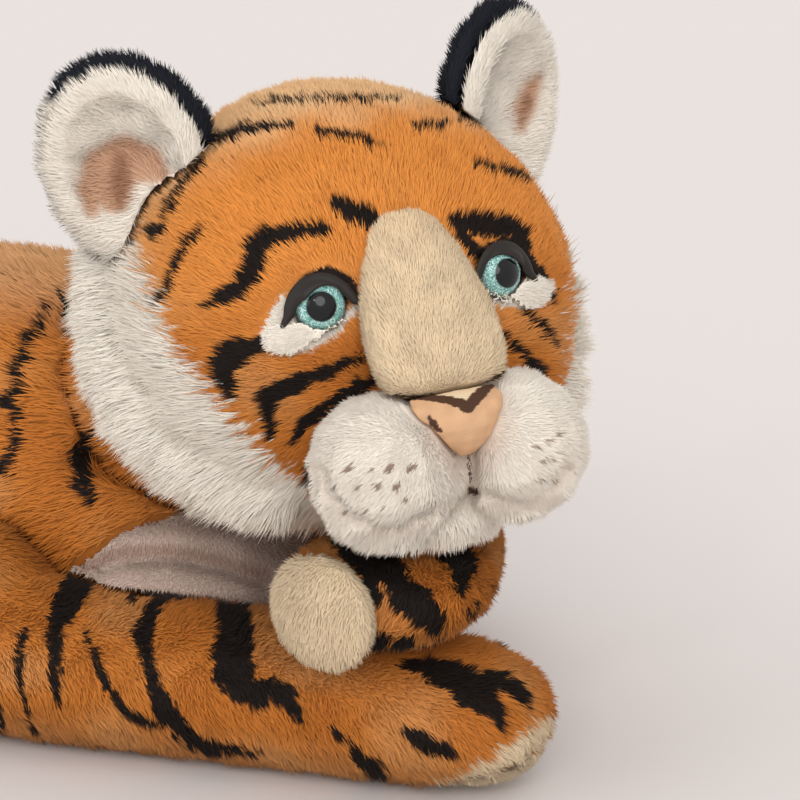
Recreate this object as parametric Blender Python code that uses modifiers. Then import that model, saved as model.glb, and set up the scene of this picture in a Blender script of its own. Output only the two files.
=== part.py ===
"""Plush tiger lying on its belly, chin on its bent left forepaw.

Metres, +X is the way the body points, +Y is the tiger's left, +Z is up.
The origin is on the flat belly panel, on the surface that the toy lies on.
"""

import math

import bmesh
import bpy
from mathutils import Matrix, Vector
from mathutils.bvhtree import BVHTree

# Body
TORSO_LENGTH = 0.430
TORSO_WIDTH = 0.190
TORSO_HEIGHT = 0.184
TORSO_FRONT_SHARE = 0.35
TORSO_SINK = 0.020
BELLY_PANEL_LENGTH = 0.250
BELLY_PANEL_WIDTH = 0.084
BELLY_PANEL_THICKNESS = 0.005
PELLET_BAG_HEIGHT = 0.030
PELLET_BAG_MARGIN = 0.008
BAG_RISE_SHARE = 0.34
CHEST_ROLL_DEPTH = 0.124
CHEST_ROLL_WIDTH = 0.188
CHEST_ROLL_HEIGHT = 0.100
CHEST_ROLL_PLACE_SHARES = (0.2, 0.5)

# Neck: a stuffed ball that the collar of fur covers
NECK_RADIUS = 0.056
NECK_PLACE_SHARES = (0.298, -0.095, 0.750)
NECK_YAW = math.radians(-20.0)
NECK_OPEN = math.radians(8.0)

# Head
HEAD_LENGTH = 0.160
HEAD_WIDTH = 0.184
HEAD_HEIGHT = 0.182
HEAD_BACK_SHARE = 0.49
HEAD_BASE_SHARE = 0.48
HEAD_YAW = math.radians(-38.0)
HEAD_ROLL = math.radians(6.0)
HEAD_REACH_SHARES = (0.529, -0.169, 0.231)

# Face
MUZZLE_LOBE_LENGTH = 0.060
MUZZLE_LOBE_WIDTH = 0.056
MUZZLE_LOBE_HEIGHT = 0.056
MUZZLE_SPREAD = 0.025
MUZZLE_PLACE_SHARES = (0.590, -0.205)
CHIN_LENGTH = 0.060
CHIN_WIDTH = 0.078
CHIN_HEIGHT = 0.040
CHIN_PLACE_SHARES = (0.415, -0.325)
NOSE_LENGTH = 0.026
NOSE_WIDTH = 0.042
NOSE_HEIGHT = 0.026
NOSE_PLACE_SHARES = (0.664, -0.115)
BRIDGE_WIDTH = 0.054
BRIDGE_THICKNESS = 0.030
RUFF_WIDTH = 0.040
RUFF_DEPTH = 0.052

# Eyes: moulded domes with a shank that a washer holds behind the face
EYE_RADIUS = 0.0100
EYE_DOME_HEIGHT = 0.0070
EYE_RIM_HEIGHT = 0.0018
EYE_SEAT_DEPTH = 0.0022
EYE_SHANK_RADIUS = 0.0024
EYE_SHANK_LENGTH = 0.0160
EYE_PLACE_YAW = math.radians(25.5)
EYE_PLACE_PITCH = math.radians(15.0)
EYE_LOOK_YAW = math.radians(14.0)
EYE_LOOK_PITCH = math.radians(6.0)
WASHER_RADIUS = 0.0080
WASHER_THICKNESS = 0.0024
WASHER_DEPTH = 0.0090
LID_THICKNESS = 0.0062
LID_FIRST = math.radians(-20.0)
LID_LAST = math.radians(200.0)
EYE_PATCH_LENGTH = 0.038
EYE_PATCH_HEIGHT = 0.020
EYE_PATCH_THICKNESS = 0.010
EYE_PATCH_TILT = math.radians(10.0)
# Outwards, up to its middle and up to its straight edge, as shares of the eye's radius
EYE_PATCH_SHARES = (0.40, -0.85, -0.44)

# Ears
EAR_WIDTH = 0.072
EAR_HEIGHT = 0.088
EAR_THICKNESS = 0.020
EAR_RISE = 0.016
EAR_HEM = 0.004
EAR_FRONT_THICKNESS = 0.014
EAR_FRONT_LIFT = 0.0065
EAR_HOLLOW_DEPTH = 0.009
EAR_SET_BACK_SHARE = -0.060
EAR_SIDE_ANGLE = math.radians(53.0)
EAR_LEAN = math.radians(12.0)
EAR_TURN_OUT = math.radians(30.0)
EAR_FOLD_DEGREES = 12.0

# Forelegs
SHOULDER_RADIUS = 0.045
SHOULDER_PLACE_SHARES = (0.140, 0.553)
FORELEG_LENGTH = 0.253
FORELEG_WIDTH = 0.088
FORELEG_HEIGHT = 0.086
FORELEG_YAW = math.radians(11.4)
WRIST_SHARE = 0.590
PRESSED_HEIGHT = 0.0575
BENT_PAW_HEIGHT = 0.0450
BENT_REACH = 0.208
BENT_SWEEP = 0.229
ELBOW_RADIUS = 0.0400
ELBOW_SHARES = (0.450, 0.050)
BENT_WRIST_SHARES = (0.820, 0.540)
BENT_PAD_LENGTH = 0.054
BENT_PAD_HEIGHT = 0.045
BENT_PAD_THICKNESS = 0.009
BENT_PAD_SHARES = (0.925, 0.960)
OVER_LEG_SHARE = 0.2
BENT_PAD_YAW = math.radians(-103.0)
SOLE_TILT = math.radians(17.0)
FORE_SOLE_LENGTH = 0.058
HIND_SOLE_LENGTH = 0.046
ELBOW_DEGREES = 12.0

# Hind legs and tail
HIP_RADIUS = 0.060
HIP_PLACE_SHARES = (-0.430, 0.421)
THIGH_LENGTH = 0.104
THIGH_WIDTH = 0.116
THIGH_YAW = math.radians(-10.0)
HIND_LEG_LENGTH = 0.165
HIND_LEG_WIDTH = 0.062
HIND_LEG_HEIGHT = 0.051
HIND_LEG_PLACE_SHARES = (0.330, -0.860)
TAIL_ROOT_RADIUS = 0.022
TAIL_PLACE_SHARES = (-0.640, 0.420)
TAIL_BACK = 0.118
TAIL_SIDE = 0.190
TAIL_THICKNESS = 0.034
TAIL_TIP_LENGTH = 0.046

# Clearances
CLEAR = 0.0006
BALL_CLEAR = 0.0008
FLAT_CUT = 0.0005
OVERRUN = 0.400
MERGE_SHARE = 0.1
WELD_GAP = 0.00002

# How finely the soft forms are divided
BODY_POINTS = 10
LIMB_POINTS = 8
BALL_SEGMENTS = 20
NECK_SEGMENTS = 28
SMALL_SEGMENTS = 14
TURN_STEPS = 12
DOME_STEPS = 4
AGREEMENT_SHARE = 0.001

# Stations of the soft forms: along, half width, low and high, as shares of the piece's own sizes
TORSO_SHARES = (
    (0.000, 0.300, 0.330, 0.620),
    (0.050, 0.600, 0.180, 0.790),
    (0.180, 0.920, 0.020, 0.930),
    (0.360, 1.000, 0.000, 0.975),
    (0.560, 0.970, 0.000, 0.980),
    (0.740, 1.000, 0.000, 1.000),
    (0.870, 0.910, 0.030, 0.950),
    (0.955, 0.680, 0.150, 0.810),
    (1.000, 0.360, 0.300, 0.640),
)
HEAD_SHARES = (
    (0.000, 0.360, 0.300, 0.700),
    (0.080, 0.690, 0.140, 0.870),
    (0.250, 0.940, 0.030, 0.980),
    (0.480, 1.000, 0.000, 1.000),
    (0.700, 0.950, 0.030, 0.955),
    (0.860, 0.790, 0.120, 0.835),
    (0.950, 0.570, 0.240, 0.710),
    (1.000, 0.330, 0.360, 0.600),
)
FORELEG_SHARES = (
    (0.000, 0.960, 0.000, 0.960),
    (0.140, 0.980, 0.000, 0.760),
    (0.400, 0.900, 0.000, 0.715),
    (0.680, 0.880, 0.000, 0.710),
    (0.860, 0.980, 0.000, 0.680),
    (0.950, 0.840, 0.060, 0.590),
    (1.000, 0.480, 0.150, 0.430),
)
# Ahead and sideways as shares of the bent leg's reach and sweep, then half width, low and high
BENT_LEG_SHARES = (
    (0.000, 0.000, 0.960, 0.000, 0.980),
    (0.220, 0.000, 1.000, 0.000, 0.960),
    (0.450, 0.050, 0.860, 0.000, 0.900),
    (0.620, 0.210, 0.800, 0.060, 0.930),
    (0.740, 0.400, 0.780, 0.400, 1.000),
    (0.830, 0.560, 0.800, 0.570, 1.000),
    (0.920, 0.780, 0.980, 0.570, 1.000),
    (0.970, 0.930, 0.880, 0.600, 0.980),
    (0.985, 1.000, 0.500, 0.680, 0.920),
)
THIGH_SHARES = (
    (0.000, 1.000, 0.010, 0.990),
    (0.380, 1.000, 0.010, 0.940),
    (0.800, 0.760, 0.070, 0.700),
    (1.000, 0.420, 0.190, 0.490),
)
HIND_LEG_SHARES = (
    (0.000, 0.700, 0.080, 0.800),
    (0.400, 0.880, 0.000, 0.950),
    (0.780, 1.000, 0.000, 1.000),
    (0.940, 0.860, 0.050, 0.860),
    (1.000, 0.500, 0.160, 0.640),
)
# Back and sideways as shares of the tail's run, then height above the ground as a share of its root's
TAIL_SHARES = (
    (0.000, 0.000, 1.000),
    (0.280, 0.020, 0.720),
    (0.620, 0.110, 0.330),
    (0.900, 0.330, 0.214),
    (1.000, 0.620, 0.214),
    (0.950, 0.850, 0.214),
    (0.840, 0.980, 0.214),
)
TAIL_GIRTH_SHARES = (1.06, 1.04, 1.02, 1.00, 0.98, 0.90, 0.60)
# Ahead and up as shares of the head's length and height, then half width and half thickness
BRIDGE_SHARES = (
    (0.405, 0.275, 0.400, 0.500),
    (0.450, 0.215, 0.660, 0.800),
    (0.500, 0.130, 0.880, 0.950),
    (0.550, 0.060, 1.000, 1.000),
    (0.612, -0.020, 0.980, 0.900),
    (0.633, -0.075, 0.820, 0.600),
)
# From the top of the nose pad down: height and ahead as shares of its height and length, then half
# width and half length
NOSE_SHARES = (
    (0.500, -0.200, 0.620, 0.360),
    (0.320, 0.000, 1.000, 0.800),
    (0.000, 0.100, 0.760, 1.000),
    (-0.320, 0.060, 0.400, 0.800),
    (-0.500, -0.050, 0.200, 0.400),
)
# Round the cheek from the ear to the chin: ahead, across and up as shares of the head's length,
# width and height, then half width and half depth
RUFF_SHARES = (
    (-0.270, 0.420, 0.230, 0.450, 0.500),
    (-0.240, 0.440, 0.090, 0.750, 0.850),
    (-0.130, 0.450, -0.070, 0.950, 1.000),
    (0.020, 0.415, -0.180, 1.000, 0.950),
    (0.165, 0.325, -0.262, 0.850, 0.800),
    (0.320, 0.225, -0.320, 0.550, 0.500),
)
LID_GIRTH_SHARES = (0.12, 0.46, 0.80, 0.96, 1.00, 0.96, 0.80, 0.46, 0.12)

# Colours: linear red, green and blue, then roughness
FUR_ORANGE = (0.560, 0.190, 0.048, 0.95)
FUR_WHITE = (0.780, 0.740, 0.680, 0.95)
FUR_CREAM = (0.730, 0.560, 0.370, 0.95)
FUR_DARK = (0.022, 0.022, 0.030, 0.95)
FUR_PALE = (0.580, 0.480, 0.420, 0.95)
NOSE_TAN = (0.650, 0.330, 0.200, 0.80)
LID_GREY = (0.045, 0.040, 0.038, 0.50)
EYE_BLACK = (0.010, 0.012, 0.012, 0.08)
WASHER_WHITE = (0.750, 0.750, 0.740, 0.45)
LINEN = (0.600, 0.570, 0.520, 0.90)

RIGHT = -1
LEFT = 1
SIDE_NAMES = {RIGHT: "right", LEFT: "left"}

UP = Vector((0.0, 0.0, 1.0))
AHEAD = Vector((1.0, 0.0, 0.0))

# What follows from the driving sizes
TORSO_REAR = -TORSO_LENGTH * (1 - TORSO_FRONT_SHARE)
TORSO_FRONT = TORSO_LENGTH * TORSO_FRONT_SHARE
SHOULDER_HEIGHT = SHOULDER_RADIUS - FLAT_CUT
HIP_HEIGHT = HIP_RADIUS - FLAT_CUT
BENT_PAW_BASE = PRESSED_HEIGHT + CLEAR
BENT_PAW_TOP = BENT_PAW_BASE + BENT_PAW_HEIGHT
CHIN_LEVEL = BENT_PAW_TOP + CLEAR
NECK_PLACE = Vector(
    (
        TORSO_LENGTH * NECK_PLACE_SHARES[0],
        TORSO_WIDTH * NECK_PLACE_SHARES[1],
        TORSO_HEIGHT * NECK_PLACE_SHARES[2],
    )
)
HEAD_PLACE = NECK_PLACE + HEAD_LENGTH * Vector(HEAD_REACH_SHARES)
HEAD_FRAME = (
    Matrix.Translation(HEAD_PLACE)
    @ Matrix.Rotation(HEAD_YAW, 4, "Z")
    @ Matrix.Rotation(HEAD_ROLL, 4, "X")
)
TAIL_ROOT = Vector(
    (TORSO_LENGTH * TAIL_PLACE_SHARES[0], 0.0, TORSO_HEIGHT * TAIL_PLACE_SHARES[1])
)


def shoulder_place(side):
    """Centre of a shoulder's ball."""
    along, across = SHOULDER_PLACE_SHARES
    return Vector((TORSO_LENGTH * along, side * TORSO_WIDTH * across, SHOULDER_HEIGHT))


def hip_place(side):
    """Centre of a hip's ball."""
    along, across = HIP_PLACE_SHARES
    return Vector((TORSO_LENGTH * along, side * TORSO_WIDTH * across, HIP_HEIGHT))


def bent_place(ahead_share, sweep_share):
    """A place on the bent leg's run, seen from above, on the ground."""
    start = shoulder_place(LEFT)
    return Vector((start.x + BENT_REACH * ahead_share, start.y - BENT_SWEEP * sweep_share, 0.0))


def elbow_place():
    """Centre of the elbow's ball."""
    return bent_place(*ELBOW_SHARES) + UP * (ELBOW_RADIUS - FLAT_CUT)


# Scene, collections and materials
for old in list(bpy.data.objects):
    bpy.data.objects.remove(old)

parts = bpy.data.collections.new("plush_tiger")
cutters = bpy.data.collections.new("cutters")
bpy.context.scene.collection.children.link(parts)
bpy.context.scene.collection.children.link(cutters)


def material(name, finish):
    """A Principled material from linear colour and roughness."""
    found = bpy.data.materials.get(name)
    if found is None:
        found = bpy.data.materials.new(name)
        found.use_nodes = True
        shader = found.node_tree.nodes["Principled BSDF"]
        shader.inputs["Base Color"].default_value = (*finish[:3], 1.0)
        shader.inputs["Roughness"].default_value = finish[3]
        shader.inputs["Metallic"].default_value = 0.0
        found.diffuse_color = (*finish[:3], 1.0)
    return found


def pivot(name, place, parent=None):
    """An empty on a joint's axis, which carries the pieces that move with it."""
    empty = bpy.data.objects.new(name, None)
    empty.empty_display_size = NECK_RADIUS
    empty.matrix_world = Matrix.Translation(place)
    parts.objects.link(empty)
    bpy.context.view_layer.update()
    if parent is not None:
        empty.parent = parent
        empty.matrix_parent_inverse = parent.matrix_world.inverted()
        bpy.context.view_layer.update()
    return empty


def make_object(name, bm, collection, frame=None):
    """An object from a bmesh, which it frees, standing in a frame."""
    bmesh.ops.recalc_face_normals(bm, faces=bm.faces)
    mesh = bpy.data.meshes.new(name)
    bm.to_mesh(mesh)
    bm.free()
    ob = bpy.data.objects.new(name, mesh)
    if frame is not None:
        ob.matrix_world = frame
    collection.objects.link(ob)
    return ob


def make_piece(name, bm, finish_name, finish, parent=None, frame=None):
    """A named sub-part with its own material, smooth shaded."""
    ob = make_object(name, bm, parts, frame)
    ob.data.materials.append(material(f"{name}_{finish_name}", finish))
    ob.data.shade_smooth()
    if parent is not None:
        ob.parent = parent
        ob.matrix_parent_inverse = parent.matrix_world.inverted()
    return ob


def make_cutter(name, bm, frame=None):
    """A hidden shape that cuts or joins."""
    ob = make_object(f"cut_{name}", bm, cutters, frame)
    ob.hide_render = True
    ob.display_type = "WIRE"
    return ob


def smooth(ob):
    """One level of Subdivision Surface on a coarse cage."""
    modifier = ob.modifiers.new("soft", "SUBSURF")
    modifier.levels = 1
    modifier.render_levels = 1
    return ob


def measured(ob):
    """An object's volume as triangles: zero if they leave it open, below zero if it is inside out."""
    bpy.context.view_layer.update()
    mesh = ob.evaluated_get(bpy.context.evaluated_depsgraph_get()).to_mesh()
    bm = bmesh.new()
    bm.from_mesh(mesh)
    bmesh.ops.triangulate(bm, faces=bm.faces)
    closed = all(len(edge.link_faces) == 2 for edge in bm.edges)
    volume = bm.calc_volume(signed=True) if closed else 0.0
    bm.free()
    return volume


def faceted(ob):
    """Splits an object's faces into triangles, which are flat, so that a cut has one outcome."""
    if "triangles" not in ob.modifiers:
        ob.modifiers.new("triangles", "TRIANGULATE")
    return ob


def combine(ob, other, operation="DIFFERENCE"):
    """One boolean: exact wherever that gives the piece that the manifold solver gives."""
    faceted(ob)
    faceted(other)
    modifier = ob.modifiers.new(f"{operation.lower()}_{other.name}", "BOOLEAN")
    modifier.operation = operation
    modifier.object = other
    modifier.solver = "MANIFOLD"
    wanted = measured(ob)
    modifier.solver = "EXACT"
    if abs(measured(ob) - wanted) > wanted * AGREEMENT_SHARE:
        modifier.solver = "MANIFOLD"
    return weld(ob, wanted)


def weld(ob, wanted):
    """Merges the corners that a cut leaves almost on each other, unless that opens the piece."""
    modifier = ob.modifiers.new("weld", "WELD")
    modifier.merge_threshold = WELD_GAP
    if abs(measured(ob) - wanted) > wanted * AGREEMENT_SHARE:
        ob.modifiers.remove(modifier)
    return ob


# Shapes
def ring_form(rings, grow=0.0, points=LIMB_POINTS):
    """A closed cage through rings; each is a centre and two half axes, and grow adds to every radius."""
    # One level of subdivision draws a ring in by this much.
    draw_in = (6 + 2 * math.cos(2 * math.pi / points)) / 8
    bm = bmesh.new()
    loops = []
    for number, (centre, across, rise) in enumerate(rings):
        along = across.cross(rise).normalized()
        step = {0: -grow, len(rings) - 1: grow}.get(number, 0.0)
        wide = across.normalized() * (across.length + grow) / draw_in
        tall = rise.normalized() * (rise.length + grow) / draw_in
        frame = Matrix((wide, tall, along)).transposed().to_4x4()
        frame.translation = centre + along * step
        made = bmesh.ops.create_circle(bm, segments=points, radius=1.0, matrix=frame)
        loops.append(list({edge for vert in made["verts"] for edge in vert.link_edges}))
    for first, second in zip(loops, loops[1:]):
        bmesh.ops.bridge_loops(bm, edges=first + second)
    for ends in (loops[0], loops[-1]):
        bmesh.ops.contextual_create(bm, geom=ends)
    return bm


def level_rings(shares, length, width, height, base):
    """Upright rings along X from shares of a length, a width and a height above a base."""
    rings = []
    for along, half, low, high in shares:
        centre = Vector((along * length, 0.0, base + (low + high) * height / 2))
        across = Vector((0.0, half * width / 2, 0.0))
        rings.append((centre, across, UP * (high - low) * height / 2))
    return rings


def path_rings(points, half_widths, half_heights):
    """Rings square to a path, each with a level half width and a half height."""
    rings = []
    for number, point in enumerate(points):
        before = points[max(number - 1, 0)]
        after = points[min(number + 1, len(points) - 1)]
        along = (after - before).normalized()
        across = UP.cross(along).normalized()
        rise = along.cross(across)
        rings.append((point, across * half_widths[number], rise * half_heights[number]))
    return rings


def moved_rings(rings, frame):
    """The same rings in another frame."""
    turn = frame.to_3x3()
    return [(frame @ centre, turn @ across, turn @ rise) for centre, across, rise in rings]


def ball_bmesh(centre, radii, grow=0.0, segments=SMALL_SEGMENTS):
    """A sphere or an ellipsoid."""
    bm = bmesh.new()
    scale = Matrix.Diagonal((*(radius + grow for radius in radii), 1.0))
    frame = Matrix.Translation(centre) @ scale
    bmesh.ops.create_uvsphere(
        bm, u_segments=segments, v_segments=segments // 2, radius=1.0, matrix=frame
    )
    return bm


def round_ball(centre, radius, grow=0.0, segments=BALL_SEGMENTS):
    """A sphere of one radius."""
    return ball_bmesh(centre, (radius, radius, radius), grow, segments)


def block_bmesh(low, high):
    """A box between two corners."""
    bm = bmesh.new()
    size = high - low
    frame = Matrix.Translation((low + high) / 2) @ Matrix.Diagonal((*size, 1.0))
    bmesh.ops.create_cube(bm, size=1.0, matrix=frame)
    return bm


def slice_off(ob, name, point, normal):
    """Cuts away what lies beyond a plane, on the side that its normal points to."""
    turn = AHEAD.rotation_difference(normal).to_matrix().to_4x4()
    frame = Matrix.Translation(point) @ turn
    half = Vector((0.0, OVERRUN, OVERRUN))
    bm = block_bmesh(-half, half + AHEAD * OVERRUN)
    return combine(ob, make_cutter(name, bm, frame))


def seat_flat(ob, name):
    """Cuts a piece flat where it lies on the ground."""
    return slice_off(ob, f"{name}_ground", Vector((0.0, 0.0, 0.0)), -UP)


def turned_form(profile, steps=TURN_STEPS):
    """A profile of (radius, height) pairs, listed from the top down, turned about its own X axis."""
    bm = bmesh.new()
    verts = [bm.verts.new((height, radius, 0.0)) for radius, height in profile]
    edges = [bm.edges.new(pair) for pair in zip(verts, verts[1:])]
    bmesh.ops.spin(
        bm,
        geom=verts + edges,
        cent=(0.0, 0.0, 0.0),
        axis=AHEAD,
        angle=2 * math.pi,
        steps=steps,
        use_merge=True,
    )
    bmesh.ops.remove_doubles(bm, verts=bm.verts, dist=CLEAR * MERGE_SHARE)
    return bm


# Joint axes
neck_pivot = pivot("neck_turn_axis", NECK_PLACE)
nod_pivot = pivot("head_nod_axis", NECK_PLACE, neck_pivot)
shoulder_pivots = {
    side: pivot(f"shoulder_{SIDE_NAMES[side]}_axis", shoulder_place(side)) for side in SIDE_NAMES
}
elbow_pivot = pivot("elbow_left_axis", elbow_place(), shoulder_pivots[LEFT])
hip_pivots = {side: pivot(f"hip_{SIDE_NAMES[side]}_axis", hip_place(side)) for side in SIDE_NAMES}
tail_pivot = pivot("tail_axis", TAIL_ROOT)


# Soft forms, each as a function of how much it grows, so that its neighbours can be cut to it
def torso_form(grow=0.0):
    """The stuffed body, sunk into the ground a little so that its belly is cut flat."""
    rings = level_rings(
        TORSO_SHARES, TORSO_LENGTH, TORSO_WIDTH, TORSO_HEIGHT + TORSO_SINK, -TORSO_SINK
    )
    moved = moved_rings(rings, Matrix.Translation((TORSO_REAR, 0.0, 0.0)))
    return ring_form(moved, grow, BODY_POINTS)


def head_form(grow=0.0):
    """The stuffed head in its own frame."""
    base = -HEAD_HEIGHT * HEAD_BASE_SHARE
    rings = level_rings(HEAD_SHARES, HEAD_LENGTH, HEAD_WIDTH, HEAD_HEIGHT, base)
    back = Vector((-HEAD_LENGTH * HEAD_BACK_SHARE, 0.0, 0.0))
    return ring_form(moved_rings(rings, Matrix.Translation(back)), grow, BODY_POINTS)


def foreleg_form(grow=0.0):
    """The stretched right foreleg with its paw."""
    rings = level_rings(FORELEG_SHARES, FORELEG_LENGTH, FORELEG_WIDTH, FORELEG_HEIGHT, -FLAT_CUT)
    start = shoulder_place(RIGHT)
    start.z = 0.0
    frame = Matrix.Translation(start) @ Matrix.Rotation(FORELEG_YAW, 4, "Z")
    return ring_form(moved_rings(rings, frame), grow)


def bent_leg_form(grow=0.0):
    """The bent left foreleg, which sweeps round ahead of the chest and over the right one."""
    points = []
    half_widths = []
    half_heights = []
    for ahead, sweep, half, low, high in BENT_LEG_SHARES:
        middle = (low + high) * BENT_PAW_TOP / 2
        points.append(bent_place(ahead, sweep) + UP * (middle - FLAT_CUT))
        half_widths.append(half * FORELEG_WIDTH / 2)
        half_heights.append((high - low) * BENT_PAW_TOP / 2)
    return ring_form(path_rings(points, half_widths, half_heights), grow)


def thigh_form(side, grow=0.0):
    """The round of a thigh ahead of its hip."""
    rings = level_rings(THIGH_SHARES, THIGH_LENGTH, THIGH_WIDTH, 2 * HIP_RADIUS, -HIP_RADIUS)
    frame = Matrix.Translation(hip_place(side)) @ Matrix.Rotation(-side * THIGH_YAW, 4, "Z")
    return ring_form(moved_rings(rings, frame), grow)


def hind_leg_form(side, grow=0.0):
    """A lower hind leg that lies along the ground beside its thigh."""
    rings = level_rings(
        HIND_LEG_SHARES, HIND_LEG_LENGTH, HIND_LEG_WIDTH, HIND_LEG_HEIGHT, -FLAT_CUT
    )
    start = hip_place(side)
    start.x += HIP_RADIUS * HIND_LEG_PLACE_SHARES[0]
    start.y -= side * HIP_RADIUS * HIND_LEG_PLACE_SHARES[1]
    start.z = 0.0
    return ring_form(moved_rings(rings, Matrix.Translation(start)), grow)


def tail_form(grow=0.0):
    """The tail, which falls to the ground and curls to the tiger's left."""
    points = []
    for back, sideways, height in TAIL_SHARES:
        points.append(
            Vector((TAIL_ROOT.x - back * TAIL_BACK, sideways * TAIL_SIDE, TAIL_ROOT.z * height))
        )
    girths = [share * TAIL_THICKNESS / 2 for share in TAIL_GIRTH_SHARES]
    return ring_form(path_rings(points, girths, girths), grow)


def bridge_form(grow=0.0):
    """The pale bridge of the nose, from the brow to the nose pad."""
    points = []
    half_widths = []
    half_heights = []
    for ahead, height, half, thick in BRIDGE_SHARES:
        points.append(Vector((ahead * HEAD_LENGTH, 0.0, height * HEAD_HEIGHT)))
        half_widths.append(half * BRIDGE_WIDTH / 2)
        half_heights.append(thick * BRIDGE_THICKNESS / 2)
    return ring_form(path_rings(points, half_widths, half_heights), grow)


def lobe_form(side, grow=0.0):
    """One of the muzzle's two round lobes."""
    ahead, height = MUZZLE_PLACE_SHARES
    centre = Vector((ahead * HEAD_LENGTH, side * MUZZLE_SPREAD, height * HEAD_HEIGHT))
    halves = (MUZZLE_LOBE_LENGTH / 2, MUZZLE_LOBE_WIDTH / 2, MUZZLE_LOBE_HEIGHT / 2)
    return ball_bmesh(centre, halves, grow)


def chin_form(grow=0.0):
    """The chin under the two lobes."""
    ahead, height = CHIN_PLACE_SHARES
    centre = Vector((ahead * HEAD_LENGTH, 0.0, height * HEAD_HEIGHT))
    halves = (CHIN_LENGTH / 2, CHIN_WIDTH / 2, CHIN_HEIGHT / 2)
    return ball_bmesh(centre, halves, grow)


def nose_form(grow=0.0):
    """The nose pad at the end of the bridge, broad above and narrow below."""
    ahead, height = NOSE_PLACE_SHARES
    centre = Vector((ahead * HEAD_LENGTH, 0.0, height * HEAD_HEIGHT))
    rings = []
    for rise, forward, half, deep in NOSE_SHARES:
        place = centre + AHEAD * forward * NOSE_LENGTH + UP * rise * NOSE_HEIGHT
        across = Vector((0.0, half * NOSE_WIDTH / 2, 0.0))
        rings.append((place, across, AHEAD * deep * NOSE_LENGTH / 2))
    return ring_form(rings, grow)


def ruff_form(side, grow=0.0):
    """The core of a long-haired cheek, which runs from under the ear along the jaw to the chin."""
    points = []
    for ahead, across, height, _, _ in RUFF_SHARES:
        points.append(
            Vector((ahead * HEAD_LENGTH, side * across * HEAD_WIDTH, height * HEAD_HEIGHT))
        )
    rings = []
    for number, (_, _, _, half, deep) in enumerate(RUFF_SHARES):
        along = points[min(number + 1, len(points) - 1)] - points[max(number - 1, 0)]
        rise = along.normalized().cross(AHEAD).normalized()
        across = rise.cross(along.normalized())
        rings.append((points[number], across * deep * RUFF_DEPTH / 2, rise * half * RUFF_WIDTH / 2))
    return ring_form(rings, grow)


def chest_roll_form(grow=0.0):
    """The pale fold of the chest between the forelegs."""
    behind, height = CHEST_ROLL_PLACE_SHARES
    centre = Vector(
        (TORSO_FRONT - CHEST_ROLL_DEPTH * behind, 0.0, CHEST_ROLL_HEIGHT * height)
    )
    halves = (CHEST_ROLL_DEPTH / 2, CHEST_ROLL_WIDTH / 2, CHEST_ROLL_HEIGHT / 2)
    return ball_bmesh(centre, halves, grow)


# Cutters that several pieces share
torso_room = smooth(make_cutter("torso_room", torso_form(CLEAR)))
head_room = smooth(make_cutter("head_room", head_form(CLEAR), HEAD_FRAME))
bridge_room = smooth(make_cutter("bridge_room", bridge_form(CLEAR), HEAD_FRAME))
lobe_rooms = {
    side: make_cutter(f"lobe_room_{name}", lobe_form(side, CLEAR), HEAD_FRAME)
    for side, name in SIDE_NAMES.items()
}
chin_room = make_cutter("chin_room", chin_form(CLEAR), HEAD_FRAME)
foreleg_room = smooth(make_cutter("foreleg_room", foreleg_form(CLEAR)))
bent_leg_room = smooth(make_cutter("bent_leg_room", bent_leg_form(CLEAR)))
neck_room = make_cutter(
    "neck_room", round_ball(NECK_PLACE, NECK_RADIUS, BALL_CLEAR, NECK_SEGMENTS)
)
shoulder_rooms = {
    side: make_cutter(
        f"shoulder_room_{name}", round_ball(shoulder_place(side), SHOULDER_RADIUS, BALL_CLEAR)
    )
    for side, name in SIDE_NAMES.items()
}


def nod_cone(name, facing):
    """What lies on one side of a shallow cone about the neck, so that the head turns clear."""
    reach = OVERRUN * math.tan(NECK_OPEN) * facing
    profile = ((0.0, 0.0), (OVERRUN, reach), (OVERRUN, -OVERRUN * facing), (0.0, -OVERRUN * facing))
    frame = Matrix.Translation(NECK_PLACE) @ Matrix.Rotation(NECK_YAW, 4, "Z")
    return make_cutter(name, turned_form(profile), frame)


behind_neck = nod_cone("behind_neck", 1)
ahead_of_neck = nod_cone("ahead_of_neck", -1)
slice_off(ahead_of_neck, "under_head", UP * (CHIN_LEVEL - CLEAR), -UP)


def finish_head_piece(ob, name):
    """Cuts that every piece of the head takes: the neck's clearance and the flat on the paw."""
    combine(ob, behind_neck)
    return slice_off(ob, f"{name}_chin_level", UP * CHIN_LEVEL, -UP)


# Body
def make_torso():
    """The body with the rooms of all that is sewn to it."""
    torso = smooth(make_piece("torso", torso_form(), "fur", FUR_ORANGE))
    combine(torso, neck_room)
    combine(torso, ahead_of_neck)
    combine(torso, foreleg_room)
    combine(torso, bent_leg_room)
    for side, name in SIDE_NAMES.items():
        combine(torso, shoulder_rooms[side])
        hip_room = round_ball(hip_place(side), HIP_RADIUS, BALL_CLEAR)
        combine(torso, make_cutter(f"hip_room_{name}", hip_room))
        combine(torso, smooth(make_cutter(f"thigh_room_{name}", thigh_form(side, CLEAR))))
    tail_room = round_ball(TAIL_ROOT, TAIL_ROOT_RADIUS, BALL_CLEAR)
    combine(torso, make_cutter("tail_root_room", tail_room))
    combine(torso, make_cutter("panel_room", panel_bmesh(CLEAR)))
    combine(torso, smooth(make_cutter("bag_room", bag_form(CLEAR))))
    return seat_flat(torso, "torso")


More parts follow.
